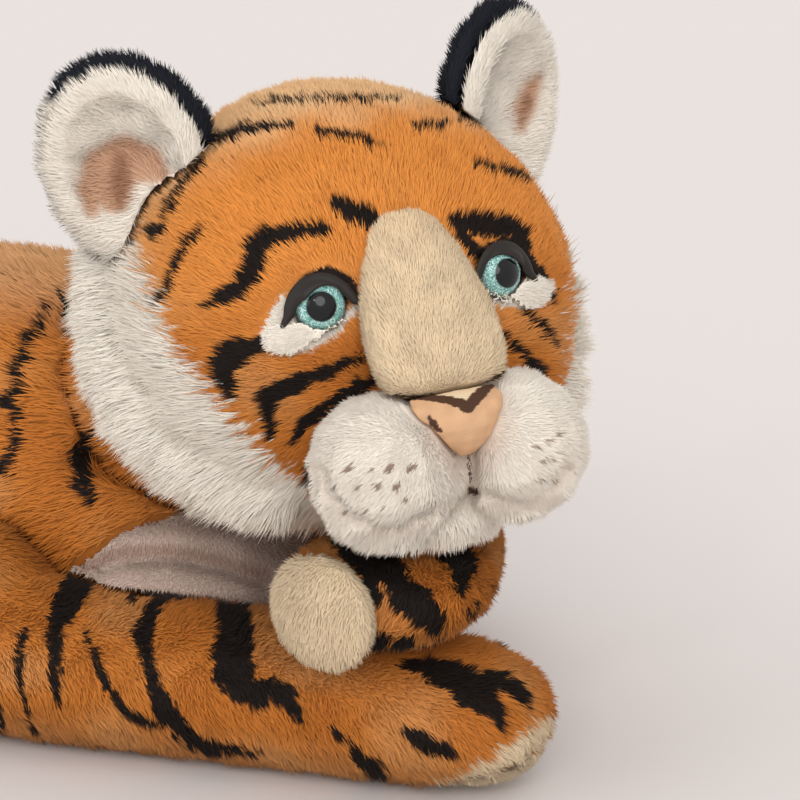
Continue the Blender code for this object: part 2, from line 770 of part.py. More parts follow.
def panel_bmesh(grow=0.0):
    """The belly panel, a flat oval that the toy lies on."""
    bm = bmesh.new()
    halves = (BELLY_PANEL_LENGTH / 2 + grow, BELLY_PANEL_WIDTH / 2 + grow)
    middle = Vector(((TORSO_REAR + TORSO_FRONT) / 2, 0.0, (BELLY_PANEL_THICKNESS + grow) / 2))
    scale = Matrix.Diagonal((*halves, BELLY_PANEL_THICKNESS + grow, 1.0))
    bmesh.ops.create_cone(
        bm,
        cap_ends=True,
        segments=NECK_SEGMENTS,
        radius1=1.0,
        radius2=1.0,
        depth=1.0,
        matrix=Matrix.Translation(middle) @ scale,
    )
    return bm


def bag_form(grow=0.0):
    """The pellet bag, a flat cushion that lies on the belly panel."""
    bm = bmesh.new()
    size = Vector(
        (
            BELLY_PANEL_LENGTH - 2 * PELLET_BAG_MARGIN + 2 * grow,
            BELLY_PANEL_WIDTH - 2 * PELLET_BAG_MARGIN + 2 * grow,
            PELLET_BAG_HEIGHT + 2 * grow,
        )
    )
    middle = Vector(
        (
            (TORSO_REAR + TORSO_FRONT) / 2,
            0.0,
            BELLY_PANEL_THICKNESS + PELLET_BAG_HEIGHT * BAG_RISE_SHARE,
        )
    )
    frame = Matrix.Translation(middle) @ Matrix.Diagonal((*size, 1.0))
    bmesh.ops.create_cube(bm, size=1.0, matrix=frame)
    return bm


def make_belly():
    """The belly panel and the bag of pellets above it."""
    make_piece("belly_panel", panel_bmesh(), "fabric", FUR_WHITE)
    bag = smooth(make_piece("pellet_bag", bag_form(), "linen", LINEN))
    flat = make_cutter("panel_top", panel_bmesh(CLEAR))
    combine(bag, flat)


def make_chest_roll():
    """The fold of chest that fills the space ahead of the body."""
    roll = make_piece("chest_roll", chest_roll_form(), "fur", FUR_PALE)
    for room in (torso_room, neck_room, foreleg_room, bent_leg_room, *shoulder_rooms.values()):
        combine(roll, room)
    sideways = Vector((0.0, LEFT, 0.0))
    slice_off(roll, "roll_end", elbow_place() - sideways * (ELBOW_RADIUS + CLEAR), sideways)
    return seat_flat(roll, "chest_roll")


def make_neck():
    """The neck, a ball that the head turns and nods on."""
    ball = round_ball(NECK_PLACE, NECK_RADIUS, segments=NECK_SEGMENTS)
    return make_piece("neck", ball, "fur", FUR_ORANGE, neck_pivot)


# Head and face
def surface_of(ob):
    """The surface of an object in its own frame, as the viewport shows it."""
    bpy.context.view_layer.update()
    return BVHTree.FromObject(ob, bpy.context.evaluated_depsgraph_get())


def direction(yaw, pitch):
    """A unit direction in the head's frame."""
    level = math.cos(pitch)
    return Vector((level * math.cos(yaw), level * math.sin(yaw), math.sin(pitch)))


def eye_frame(side, skin):
    """A frame on the face whose X axis points the way the eye looks."""
    aim = direction(side * EYE_PLACE_YAW, EYE_PLACE_PITCH)
    place = skin.ray_cast(Vector((0.0, 0.0, 0.0)), aim)[0]
    look = Matrix.Rotation(side * EYE_LOOK_YAW, 4, "Z") @ Matrix.Rotation(-EYE_LOOK_PITCH, 4, "Y")
    sink = Matrix.Translation((-EYE_SEAT_DEPTH, 0.0, 0.0))
    return HEAD_FRAME @ Matrix.Translation(place) @ look @ sink


def dome_profile(grow=0.0):
    """Half outline of the eye's dome from its top to its rim."""
    radius = EYE_RADIUS + grow
    height = EYE_DOME_HEIGHT + grow
    ball = (radius**2 + height**2) / (2 * height)
    last = math.asin(radius / ball)
    points = []
    for number in range(DOME_STEPS + 1):
        angle = last * number / DOME_STEPS
        points.append((ball * math.sin(angle), height - ball * (1 - math.cos(angle))))
    return points


def eye_profile(grow=0.0):
    """Half outline of the eye: dome, rim and shank."""
    return [
        *dome_profile(grow),
        (EYE_RADIUS + grow, -EYE_RIM_HEIGHT - grow),
        (EYE_SHANK_RADIUS + grow, -EYE_RIM_HEIGHT - grow),
        (EYE_SHANK_RADIUS + grow, -EYE_SHANK_LENGTH - grow),
        (0.0, -EYE_SHANK_LENGTH - grow),
    ]


def eye_hole_profile():
    """Half outline of what the head is bored out to: seat, bore and the washer's pocket."""
    bore = EYE_SHANK_RADIUS + CLEAR
    pocket = WASHER_RADIUS + CLEAR
    return [
        (0.0, EYE_DOME_HEIGHT + EYE_RADIUS),
        (EYE_RADIUS + CLEAR, EYE_DOME_HEIGHT + EYE_RADIUS),
        (EYE_RADIUS + CLEAR, -EYE_RIM_HEIGHT - CLEAR),
        (bore, -EYE_RIM_HEIGHT - CLEAR),
        (bore, -WASHER_DEPTH + CLEAR),
        (pocket, -WASHER_DEPTH + CLEAR),
        (pocket, -WASHER_DEPTH - WASHER_THICKNESS - CLEAR),
        (bore, -WASHER_DEPTH - WASHER_THICKNESS - CLEAR),
        (bore, -EYE_SHANK_LENGTH - CLEAR),
        (0.0, -EYE_SHANK_LENGTH - CLEAR),
    ]


def make_eye(side, name, frame):
    """One eye with its washer behind the face, its lid and the patch under it."""
    make_piece(f"eye_{name}", turned_form(eye_profile()), "plastic", EYE_BLACK, nod_pivot, frame)
    bore = EYE_SHANK_RADIUS + CLEAR
    ring = [
        (bore, -WASHER_DEPTH),
        (WASHER_RADIUS, -WASHER_DEPTH),
        (WASHER_RADIUS, -WASHER_DEPTH - WASHER_THICKNESS),
        (bore, -WASHER_DEPTH - WASHER_THICKNESS),
        (bore, -WASHER_DEPTH),
    ]
    washer = turned_form(ring)
    make_piece(f"eye_washer_{name}", washer, "plastic", WASHER_WHITE, nod_pivot, frame)
    lid = make_lid(name, frame)
    combine(lid, head_room)
    eye_room = make_cutter(f"eye_room_{name}", turned_form(eye_profile(CLEAR)), frame)
    combine(lid, eye_room)
    combine(lid, bridge_room)
    make_eye_patch(side, name, frame, eye_room)


def make_eye_patch(side, name, frame, eye_room):
    """The smooth pale patch sewn on under the eye, straight above where the lid's ends come down."""
    outward, middle, edge = EYE_PATCH_SHARES
    place = Matrix.Translation((0.0, side * outward * EYE_RADIUS, middle * EYE_RADIUS))
    turned = frame @ place @ Matrix.Rotation(-side * EYE_PATCH_TILT, 4, "X")
    halves = (EYE_PATCH_THICKNESS / 2, EYE_PATCH_LENGTH / 2, EYE_PATCH_HEIGHT / 2)
    form = ball_bmesh(Vector((0.0, 0.0, 0.0)), halves)
    patch = make_piece(f"eye_patch_{name}", form, "fur", FUR_WHITE, nod_pivot, turned)
    combine(patch, head_room)
    combine(patch, eye_room)
    combine(patch, bridge_room)
    rise = frame.to_3x3() @ UP
    return slice_off(patch, f"eye_patch_{name}_edge", frame @ (UP * edge * EYE_RADIUS), rise)


def make_lid(name, frame):
    """A moulded crescent over the upper half of the eye, thickest in the middle."""
    curve = bpy.data.curves.new(f"eyelid_{name}_path", "CURVE")
    curve.dimensions = "3D"
    curve.bevel_depth = LID_THICKNESS / 2
    curve.bevel_resolution = 1
    curve.use_fill_caps = True
    spline = curve.splines.new("POLY")
    spline.points.add(len(LID_GIRTH_SHARES) - 1)
    reach = EYE_RADIUS + CLEAR
    for number, girth in enumerate(LID_GIRTH_SHARES):
        angle = LID_FIRST + (LID_LAST - LID_FIRST) * number / (len(LID_GIRTH_SHARES) - 1)
        place = (EYE_SEAT_DEPTH * girth, reach * math.cos(angle), reach * math.sin(angle))
        spline.points[number].co = (*place, 1.0)
        spline.points[number].radius = girth
    guide = bpy.data.objects.new(f"eyelid_{name}_guide", curve)
    cutters.objects.link(guide)
    bpy.context.view_layer.update()
    evaluated = guide.evaluated_get(bpy.context.evaluated_depsgraph_get())
    bm = bmesh.new()
    bm.from_mesh(bpy.data.meshes.new_from_object(evaluated))
    bmesh.ops.remove_doubles(bm, verts=bm.verts, dist=CLEAR * MERGE_SHARE)
    bpy.data.objects.remove(guide)
    return make_piece(f"eyelid_{name}", bm, "plastic", LID_GREY, nod_pivot, frame)


def make_face():
    """Bridge, muzzle, chin, nose and cheeks."""
    bridge = make_piece("nose_bridge", bridge_form(), "fur", FUR_CREAM, nod_pivot, HEAD_FRAME)
    combine(smooth(bridge), head_room)
    muzzle = make_piece("muzzle", lobe_form(RIGHT), "fur", FUR_WHITE, nod_pivot, HEAD_FRAME)
    other_lobe = make_cutter("other_lobe", lobe_form(LEFT), HEAD_FRAME)
    combine(muzzle, other_lobe, "UNION")
    chin = make_piece("chin", chin_form(), "fur", FUR_WHITE, nod_pivot, HEAD_FRAME)
    nose = make_piece("nose", nose_form(), "pad", NOSE_TAN, nod_pivot, HEAD_FRAME)
    smooth(nose)
    for room in (head_room, bridge_room):
        combine(muzzle, room)
        combine(nose, room)
    combine(chin, head_room)
    for room in lobe_rooms.values():
        combine(chin, room)
        combine(nose, room)
    for side, name in SIDE_NAMES.items():
        ruff = make_piece(
            f"cheek_ruff_{name}", ruff_form(side), "fur", FUR_WHITE, nod_pivot, HEAD_FRAME
        )
        smooth(ruff)
        combine(ruff, chin_room)
        combine(ruff, head_room)
        combine(ruff, neck_room)
        finish_head_piece(ruff, f"ruff_{name}")
    finish_head_piece(muzzle, "muzzle")
    finish_head_piece(chin, "chin")


def ear_frame(side, skin):
    """A frame on the head at an ear's fold: X is the way the ear faces, Y the fold, Z its tip."""
    outward = Vector((0.0, side * math.sin(EAR_SIDE_ANGLE), math.cos(EAR_SIDE_ANGLE)))
    start = Vector((HEAD_LENGTH * EAR_SET_BACK_SHARE, 0.0, 0.0))
    place = skin.ray_cast(start, outward)[0]
    tip = Vector((0.0, side * math.sin(EAR_LEAN), math.cos(EAR_LEAN)))
    sideways = Vector((0.0, side * math.cos(EAR_LEAN), -math.sin(EAR_LEAN)))
    facing = AHEAD * math.cos(EAR_TURN_OUT) + sideways * math.sin(EAR_TURN_OUT)
    fold = tip.cross(facing)
    frame = Matrix((facing, fold, tip)).transposed().to_4x4()
    frame.translation = place
    return HEAD_FRAME @ frame


def make_ear(side, name, skin):
    """One ear: a dark back that holds a pale, hollow front, clear of the head as it folds."""
    frame = ear_frame(side, skin)
    fold_pivot = pivot(f"ear_fold_{name}_axis", frame.translation, nod_pivot)
    halves = (EAR_THICKNESS / 2, EAR_WIDTH / 2, EAR_HEIGHT / 2)
    front_halves = (EAR_FRONT_THICKNESS / 2, halves[1] - EAR_HEM, halves[2] - EAR_HEM)
    front_place = Vector((EAR_FRONT_LIFT, 0.0, EAR_RISE))
    hollow_place = front_place + AHEAD * EAR_FRONT_THICKNESS / 2
    hollow_halves = (EAR_HOLLOW_DEPTH, front_halves[1] - 2 * EAR_HEM, front_halves[2] - 2 * EAR_HEM)
    back_form = ball_bmesh(Vector((0.0, 0.0, EAR_RISE)), halves)
    back = make_piece(f"ear_back_{name}", back_form, "fur", FUR_DARK, fold_pivot, frame)
    front_form = ball_bmesh(front_place, front_halves)
    front = make_piece(f"ear_front_{name}", front_form, "fur", FUR_WHITE, fold_pivot, frame)
    room_form = ball_bmesh(front_place, front_halves, CLEAR)
    combine(back, make_cutter(f"ear_front_room_{name}", room_form, frame))
    hollow = make_cutter(f"ear_hollow_{name}", ball_bmesh(hollow_place, hollow_halves), frame)
    combine(front, hollow)
    for degrees in (-EAR_FOLD_DEGREES, 0, EAR_FOLD_DEGREES):
        fold = Matrix.Rotation(math.radians(degrees), 4, "Y")
        turned = frame @ fold @ frame.inverted() @ HEAD_FRAME
        for other, form in (("head", head_form(CLEAR)), ("ruff", ruff_form(side, CLEAR))):
            room = smooth(make_cutter(f"ear_{name}_{other}_{degrees}", form, turned))
            combine(back, room)
            combine(front, room)


def make_head():
    """The head with its eyes and its ears."""
    head = make_piece("head", head_form(), "fur", FUR_ORANGE, nod_pivot, HEAD_FRAME)
    skin = surface_of(smooth(head))
    combine(head, neck_room)
    finish_head_piece(head, "head")
    for side, name in SIDE_NAMES.items():
        frame = eye_frame(side, skin)
        combine(head, make_cutter(f"eye_hole_{name}", turned_form(eye_hole_profile()), frame))
        make_eye(side, name, frame)
        make_ear(side, name, skin)


# Legs
def leg_direction():
    """The way the straight foreleg points."""
    return Vector((math.cos(FORELEG_YAW), math.sin(FORELEG_YAW), 0.0))


def make_straight_foreleg():
    """The stretched right foreleg, parted at the wrist, with the sole under its toes."""
    along = leg_direction()
    carrier = shoulder_pivots[RIGHT]
    wrist = shoulder_place(RIGHT) + along * FORELEG_LENGTH * WRIST_SHARE
    leg = smooth(make_piece("foreleg_right", foreleg_form(), "fur", FUR_ORANGE, carrier))
    ball = make_cutter("shoulder_right", round_ball(shoulder_place(RIGHT), SHOULDER_RADIUS))
    combine(leg, ball, "UNION")
    slice_off(leg, "wrist_behind", wrist, along)
    seat_flat(leg, "foreleg_right")
    paw = smooth(make_piece("forepaw_right", foreleg_form(), "fur", FUR_ORANGE, carrier))
    sole = smooth(make_piece("forepaw_sole_right", foreleg_form(), "fur", FUR_CREAM, carrier))
    slice_off(paw, "wrist_ahead", wrist + along * CLEAR, -along)
    slice_off(paw, "pressed", UP * PRESSED_HEIGHT, UP)
    toe = shoulder_place(RIGHT) + along * (FORELEG_LENGTH - FORE_SOLE_LENGTH)
    part_sole(paw, sole, "forepaw_right", toe, along)


def part_sole(paw, sole, name, start, along):
    """Parts a paw and its sole at a plane that rises from the ground under the toes."""
    ground = Vector((start.x, start.y, 0.0))
    rise = UP * math.cos(SOLE_TILT) - along * math.sin(SOLE_TILT)
    slice_off(paw, f"{name}_above_sole", ground + rise * CLEAR, -rise)
    slice_off(sole, f"{name}_sole", ground, rise)
    seat_flat(paw, name)
    seat_flat(sole, f"{name}_under")


def make_bent_foreleg():
    """The bent left foreleg: upper arm, forearm with the elbow's ball, paw and pad."""
    carrier = shoulder_pivots[LEFT]
    first = bent_place(*BENT_LEG_SHARES[1][:2])
    after = bent_place(*BENT_LEG_SHARES[3][:2])
    along = (after - first).normalized()
    elbow = elbow_place()
    arm = smooth(make_piece("foreleg_left", bent_leg_form(), "fur", FUR_ORANGE, carrier))
    ball = make_cutter("shoulder_left", round_ball(shoulder_place(LEFT), SHOULDER_RADIUS))
    combine(arm, ball, "UNION")
    slice_off(arm, "elbow_behind", elbow, along)
    elbow_room = make_cutter("elbow_room", round_ball(elbow, ELBOW_RADIUS, BALL_CLEAR))
    combine(arm, elbow_room)
    seat_flat(arm, "foreleg_left")

    forearm = smooth(make_piece("forearm_left", bent_leg_form(), "fur", FUR_ORANGE, elbow_pivot))
    open_turn = Matrix.Rotation(math.radians(-ELBOW_DEGREES), 3, "Z")
    slice_off(forearm, "elbow_ahead", elbow + along * CLEAR, -along)
    slice_off(forearm, "elbow_open", elbow + along * CLEAR, -(open_turn @ along))
    wrist = bent_place(*BENT_WRIST_SHARES) + UP * BENT_PAW_BASE
    across = Vector((0.0, 1.0, 0.0))
    slice_off(forearm, "bent_wrist_behind", wrist + across * CLEAR, -across)
    combine(forearm, make_cutter("elbow", round_ball(elbow, ELBOW_RADIUS)), "UNION")
    seat_flat(forearm, "forearm_left")

    paw = smooth(make_piece("forepaw_left", bent_leg_form(), "fur", FUR_ORANGE, elbow_pivot))
    slice_off(paw, "bent_wrist_ahead", wrist, across)
    for piece, name in ((forearm, "forearm"), (paw, "paw")):
        slice_off(piece, f"{name}_top", UP * BENT_PAW_TOP, UP)
    over = make_cutter("over_right_leg", over_leg_block(wrist))
    combine(forearm, over)
    combine(paw, over)
    make_bent_pad(paw)


def over_leg_block(wrist):
    """The space of the right leg and its paw under the bent one."""
    low = Vector((-OVERRUN, -OVERRUN, -OVERRUN))
    high = Vector((OVERRUN, wrist.y + FORELEG_WIDTH * OVER_LEG_SHARE, BENT_PAW_BASE))
    return block_bmesh(low, high)


def make_bent_pad(paw):
    """The oval sole pad on the bent paw, sewn on the side that faces the camera."""
    place = bent_place(*BENT_PAD_SHARES) + UP * (BENT_PAW_BASE + BENT_PAW_HEIGHT / 2)
    frame = Matrix.Translation(place) @ Matrix.Rotation(BENT_PAD_YAW, 4, "Z")
    halves = (BENT_PAD_THICKNESS, BENT_PAD_LENGTH / 2, BENT_PAD_HEIGHT / 2)
    outward = frame.to_3x3() @ AHEAD
    frame.translation = surface_of(paw).ray_cast(place, outward)[0]
    form = ball_bmesh(Vector((0.0, 0.0, 0.0)), halves)
    pad = make_piece("forepaw_pad_left", form, "fur", FUR_CREAM, elbow_pivot, frame)
    combine(pad, bent_leg_room)


def make_hind_leg(side, name):
    """Thigh with the hip's ball, lower leg and sole."""
    carrier = hip_pivots[side]
    thigh = smooth(make_piece(f"thigh_{name}", thigh_form(side), "fur", FUR_ORANGE, carrier))
    ball = make_cutter(f"hip_{name}", round_ball(hip_place(side), HIP_RADIUS))
    combine(thigh, ball, "UNION")
    seat_flat(thigh, f"thigh_{name}")
    thigh_room = smooth(make_cutter(f"thigh_clear_{name}", thigh_form(side, CLEAR)))
    ball_room = make_cutter(f"hip_clear_{name}", round_ball(hip_place(side), HIP_RADIUS, CLEAR))
    leg = smooth(make_piece(f"hind_leg_{name}", hind_leg_form(side), "fur", FUR_ORANGE, carrier))
    sole = smooth(make_piece(f"hind_sole_{name}", hind_leg_form(side), "fur", FUR_CREAM, carrier))
    for piece in (leg, sole):
        combine(piece, thigh_room)
        combine(piece, ball_room)
    toe = hip_place(side)
    toe.x += HIP_RADIUS * HIND_LEG_PLACE_SHARES[0] + HIND_LEG_LENGTH - HIND_SOLE_LENGTH
    part_sole(leg, sole, f"hind_{name}", toe, AHEAD)


def make_tail():
    """The tail and its dark tip, sewn together near the end."""
    tail = smooth(make_piece("tail", tail_form(), "fur", FUR_ORANGE, tail_pivot))
    combine(tail, make_cutter("tail_root", round_ball(TAIL_ROOT, TAIL_ROOT_RADIUS)), "UNION")
    tip = smooth(make_piece("tail_tip", tail_form(), "fur", FUR_DARK, tail_pivot))
    back, sideways, _ = TAIL_SHARES[-1]
    end = Vector((TAIL_ROOT.x - back * TAIL_BACK, sideways * TAIL_SIDE, 0.0))
    back, sideways, _ = TAIL_SHARES[-3]
    before = Vector((TAIL_ROOT.x - back * TAIL_BACK, sideways * TAIL_SIDE, 0.0))
    along = (end - before).normalized()
    seam = end - along * TAIL_TIP_LENGTH
    slice_off(tail, "tail_seam_behind", seam, along)
    slice_off(tip, "tail_seam_ahead", seam + along * CLEAR, -along)
    seat_flat(tail, "tail")
    seat_flat(tip, "tail_tip")


make_torso()
make_belly()
make_chest_roll()
make_neck()
make_head()
make_face()
make_straight_foreleg()
make_bent_foreleg()
for leg_side, leg_name in SIDE_NAMES.items():
    make_hind_leg(leg_side, leg_name)
make_tail()
bpy.context.view_layer.update()
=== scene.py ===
"""Plush tiger: its coat, face and eyes, with the floor and studio light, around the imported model."""

from __future__ import annotations

import logging  # noqa: E402
import math  # noqa: E402
from collections.abc import Callable, Sequence  # noqa: E402
from dataclasses import dataclass, field, replace  # noqa: E402
from enum import Enum  # noqa: E402

import bmesh  # noqa: E402
import bpy  # noqa: E402
import numpy as np  # noqa: E402
from mathutils import Matrix, Vector  # noqa: E402
from mathutils.bvhtree import BVHTree  # noqa: E402


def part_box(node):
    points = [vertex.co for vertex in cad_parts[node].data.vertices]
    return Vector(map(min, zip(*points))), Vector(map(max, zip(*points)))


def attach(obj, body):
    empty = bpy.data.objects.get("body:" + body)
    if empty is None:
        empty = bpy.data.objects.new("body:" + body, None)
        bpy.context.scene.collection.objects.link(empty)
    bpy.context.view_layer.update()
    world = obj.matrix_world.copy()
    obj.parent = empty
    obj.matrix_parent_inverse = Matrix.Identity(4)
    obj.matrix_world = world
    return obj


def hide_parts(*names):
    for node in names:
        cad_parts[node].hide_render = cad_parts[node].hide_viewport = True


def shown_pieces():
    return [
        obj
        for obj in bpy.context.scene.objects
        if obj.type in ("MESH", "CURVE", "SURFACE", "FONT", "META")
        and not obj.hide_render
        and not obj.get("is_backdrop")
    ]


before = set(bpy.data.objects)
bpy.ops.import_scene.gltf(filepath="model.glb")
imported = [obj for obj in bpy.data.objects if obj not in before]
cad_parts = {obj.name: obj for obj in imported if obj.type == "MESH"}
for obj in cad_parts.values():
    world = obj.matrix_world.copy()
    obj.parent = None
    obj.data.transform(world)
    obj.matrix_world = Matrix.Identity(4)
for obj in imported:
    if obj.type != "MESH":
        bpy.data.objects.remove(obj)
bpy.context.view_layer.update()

LOG = logging.getLogger("plush_tiger")
Array = np.ndarray
Rgb = tuple[float, float, float]
Field = Callable[[Array, Array], Array]

# Metres: the least height of a tip, how near the floor no tuft grows, and how near vertices merge
GROUND = 0.0004
FLOOR_ROOM = 0.003
WELD = 0.00001
# How squarely a skin faces: the floor where it is bare, and the camera where it shows
FLOOR_FACING = -0.6
SEEN = 0.05
SEED = 20


class Tint(Enum):
    """Fabric colours, linear."""

    ORANGE = (0.640, 0.215, 0.034)
    DEEP = (0.420, 0.110, 0.010)
    # painted light: the brighter orange of the upper face
    TOP_LIT_ORANGE = (0.900, 0.335, 0.066)
    TAN = (0.760, 0.400, 0.160)
    PALE_TAN = (0.960, 0.620, 0.330)
    CREAM = (0.840, 0.660, 0.440)
    WHITE = (0.925, 0.850, 0.745)
    STRIPE = (0.012, 0.007, 0.005)
    NAVY = (0.014, 0.016, 0.024)
    CHEST = (0.640, 0.490, 0.410)
    PEACH = (0.620, 0.320, 0.170)
    RUST = (0.240, 0.085, 0.035)
    FRECKLE = (0.230, 0.120, 0.080)
    SEAM = (0.060, 0.026, 0.014)
    NOSE = (0.560, 0.335, 0.190)

    @property
    def rgb(self) -> Array:
        """The colour as an array."""
        return np.array(self.value)


@dataclass(frozen=True)
class Pile:
    """How a pile fabric stands.

    Lengths are in metres, the lean is measured from the skin's normal in degrees, and stray and
    swirl are how far single tufts and whole locks leave the lay.
    """

    length: float
    girth: float
    lean: float
    per_mm2: float
    stray: float = 0.16
    swirl: float = 0.16
    inset: float = 0.0020
    # painted shade: how dark a tuft's colour is at its root
    root_shade: float = 0.62
    jitter: float = 0.050


SHORT = Pile(length=0.0052, girth=0.00068, lean=52.0, per_mm2=1.45, stray=0.12, swirl=0.12, root_shade=0.74)
FINE = Pile(length=0.0034, girth=0.00058, lean=48.0, per_mm2=2.1, stray=0.10, swirl=0.08, inset=0.0010,
            root_shade=0.82)
BODY = Pile(length=0.0078, girth=0.00114, lean=56.0, per_mm2=0.58, stray=0.13, swirl=0.13, inset=0.0026,
            root_shade=0.72)
RIM = Pile(length=0.0048, girth=0.00066, lean=40.0, per_mm2=1.5, stray=0.14, inset=0.0010)
CLIPPED = Pile(length=0.0022, girth=0.00055, lean=38.0, per_mm2=2.6, stray=0.10, swirl=0.06, inset=0.0006,
               root_shade=0.88)


@dataclass(frozen=True)
class PhotoView:
    """The camera that stands where the photograph's did."""

    azimuth: float = 30.0
    elevation: float = 12.0
    lens: float = 120.0
    sensor: float = 36.0
    distance: float = 1.040
    target: tuple[float, float, float] = (0.2351, -0.04085, 0.1427)
    pixels: int = 800
    margin: float = 30.0

    def axes(self) -> tuple[Vector, Vector, Vector]:
        """The view's right, up and backward directions."""
        turn, rise = math.radians(self.azimuth), math.radians(self.elevation)
        back = Vector(
            (math.sin(turn) * math.cos(rise), -math.cos(turn) * math.cos(rise), math.sin(rise))
        )
        right = Vector((math.cos(turn), math.sin(turn), 0.0))
        return right, back.cross(right), back

    def place(self) -> Vector:
        """Where the camera stands."""
        return Vector(self.target) + self.axes()[2] * self.distance

    def project(self, points: Array) -> Array:
        """Where points fall in the photograph.

        Args:
            points: Places in metres, one a row.

        Returns:
            Pixel columns and rows.
        """
        right, up, back = (np.array(axis) for axis in self.axes())
        rel = points - np.array(self.place())
        depth = -(rel @ back)
        scale = self.pixels * self.lens / self.sensor
        middle = self.pixels / 2
        return np.stack(
            (middle + scale * (rel @ right) / depth, middle - scale * (rel @ up) / depth), axis=1
        )

    def facing(self, points: Array, normals: Array) -> Array:
        """How squarely the skin faces the camera at each point, from -1 to 1."""
        toward = np.array(self.place()) - points
        toward /= np.linalg.norm(toward, axis=1, keepdims=True)
        return np.einsum("ij,ij->i", toward, normals)

    def shows(self, points: Array, normals: Array) -> Array:
        """Where the skin faces the camera and lies in the picture or just left of it."""
        return (self.facing(points, normals) > 0.0) & (self.project(points)[:, 0] > -self.margin)

    def build(self) -> bpy.types.Object:
        """Makes the scene's camera."""
        camera = bpy.data.cameras.new("photo_camera")
        camera.lens = self.lens
        camera.sensor_width = self.sensor
        camera.clip_start = self.distance / 20
        holder = bpy.data.objects.new("photo_camera", camera)
        bpy.context.scene.collection.objects.link(holder)
        holder.location = self.place()
        holder.rotation_mode = "QUATERNION"
        holder.rotation_quaternion = (-self.axes()[2]).to_track_quat("-Z", "Y")
        bpy.context.scene.camera = holder
        return holder


VIEW = PhotoView()


class Graph:
    """Short ways to add nodes to a tree and to join them."""

    def __init__(self, tree: bpy.types.NodeTree) -> None:
        """Takes the tree to add to."""
        self.tree = tree

    def add(
        self, kind: str, inputs: dict[str | int, object] | None = None, **settings: object
    ) -> bpy.types.Node:
        """Adds a node.

        Args:
            kind: The node's type.
            inputs: Values of its inputs, by name or number.
            settings: Values of its properties.

        Returns:
            The node.
        """
        node = self.tree.nodes.new(kind)
        for name, value in settings.items():
            setattr(node, name, value)
        for socket, value in (inputs or {}).items():
            node.inputs[socket].default_value = value
        return node

    def join(self, *rows: tuple[bpy.types.Node, str | int, bpy.types.Node, str | int]) -> None:
        """Joins nodes: each row is a node, its output, another node and its input."""
        for source, out, target, into in rows:
            self.tree.links.new(source.outputs[out], target.inputs[into])


def fresh_material(
    name: str, inputs: dict[str, object]
) -> tuple[bpy.types.Material, Graph, bpy.types.Node]:
    """A new material.

    Args:
        name: Its name.
        inputs: Values of its shader's inputs, by name.

    Returns:
        The material, its nodes and its shader.
    """
    made = bpy.data.materials.new(name)
    made.use_nodes = True
    shader = made.node_tree.nodes["Principled BSDF"]
    for socket, value in inputs.items():
        shader.inputs[socket].default_value = value
    return made, Graph(made.node_tree), shader


def mesh_of(bm: bmesh.types.BMesh, name: str) -> bpy.types.Mesh:
    """Turns a bmesh into a named mesh and frees it."""
    mesh = bpy.data.meshes.new(name)
    bm.to_mesh(mesh)
    bm.free()
    return mesh


def unit(vectors: Array) -> Array:
    """Vectors of length one, row by row."""
    return vectors / np.maximum(np.linalg.norm(vectors, axis=1, keepdims=True), 1e-9)


def waves(points: Array, size: float, seed: int) -> Array:
    """A smooth, repeatable unevenness.

    Args:
        points: Places in metres, one a row.
        size: How far apart its swells are, in metres.
        seed: Which unevenness.

    Returns:
        One value a point, mostly between -1 and 1.
    """
    rng = np.random.default_rng(seed)
    total = np.zeros(len(points))
    count = 10
    for _ in range(count):
        way = rng.normal(size=3)
        way *= 2 * math.pi / (size * np.linalg.norm(way)) * rng.uniform(0.7, 1.5)
        total += np.sin(points @ way + rng.uniform(0, 2 * math.pi))
    return total / math.sqrt(count / 2) * 0.7


def smooth_step(values: Array, low: float, high: float) -> Array:
    """Rises smoothly from 0 at low to 1 at high."""
    share = np.clip((values - low) / (high - low), 0, 1)
    return share * share * (3 - 2 * share)


def mix(first: Array, second: Array, share: Array) -> Array:
    """Colours between two, row by row."""
    return first + (second - first) * share[:, None]


class Strokes:
    """Brush strokes on a plane: each is a run of (across, down, width)."""

    def __init__(self, *strokes: Sequence[tuple[float, float, float]]) -> None:
        """Takes the strokes apart into straight stretches."""
        starts, ends = [], []
        for stroke in strokes:
            run = list(stroke) if len(stroke) > 1 else [stroke[0], stroke[0]]
            starts += run[:-1]
            ends += run[1:]
        self.starts = np.array(starts, float).reshape(-1, 3)
        self.ends = np.array(ends, float).reshape(-1, 3)

    def __add__(self, other: Strokes) -> Strokes:
        """Both sets of strokes together."""
        both = Strokes()
        both.starts = np.vstack((self.starts, other.starts))
        both.ends = np.vstack((self.ends, other.ends))
        return both

    def depth(self, places: Array) -> Array:
        """How deep inside the nearest stroke each place lies, negative outside."""
        best = np.full(len(places), -1e3)
        for start, end in zip(self.starts, self.ends):
            run = end[:2] - start[:2]
            length2 = max(float(run @ run), 1e-9)
            share = np.clip(((places - start[:2]) @ run) / length2, 0, 1)
            gap = np.linalg.norm(places - start[:2] - share[:, None] * run, axis=1)
            half = (start[2] + (end[2] - start[2]) * share) / 2
            best = np.maximum(best, half - gap)
        return best


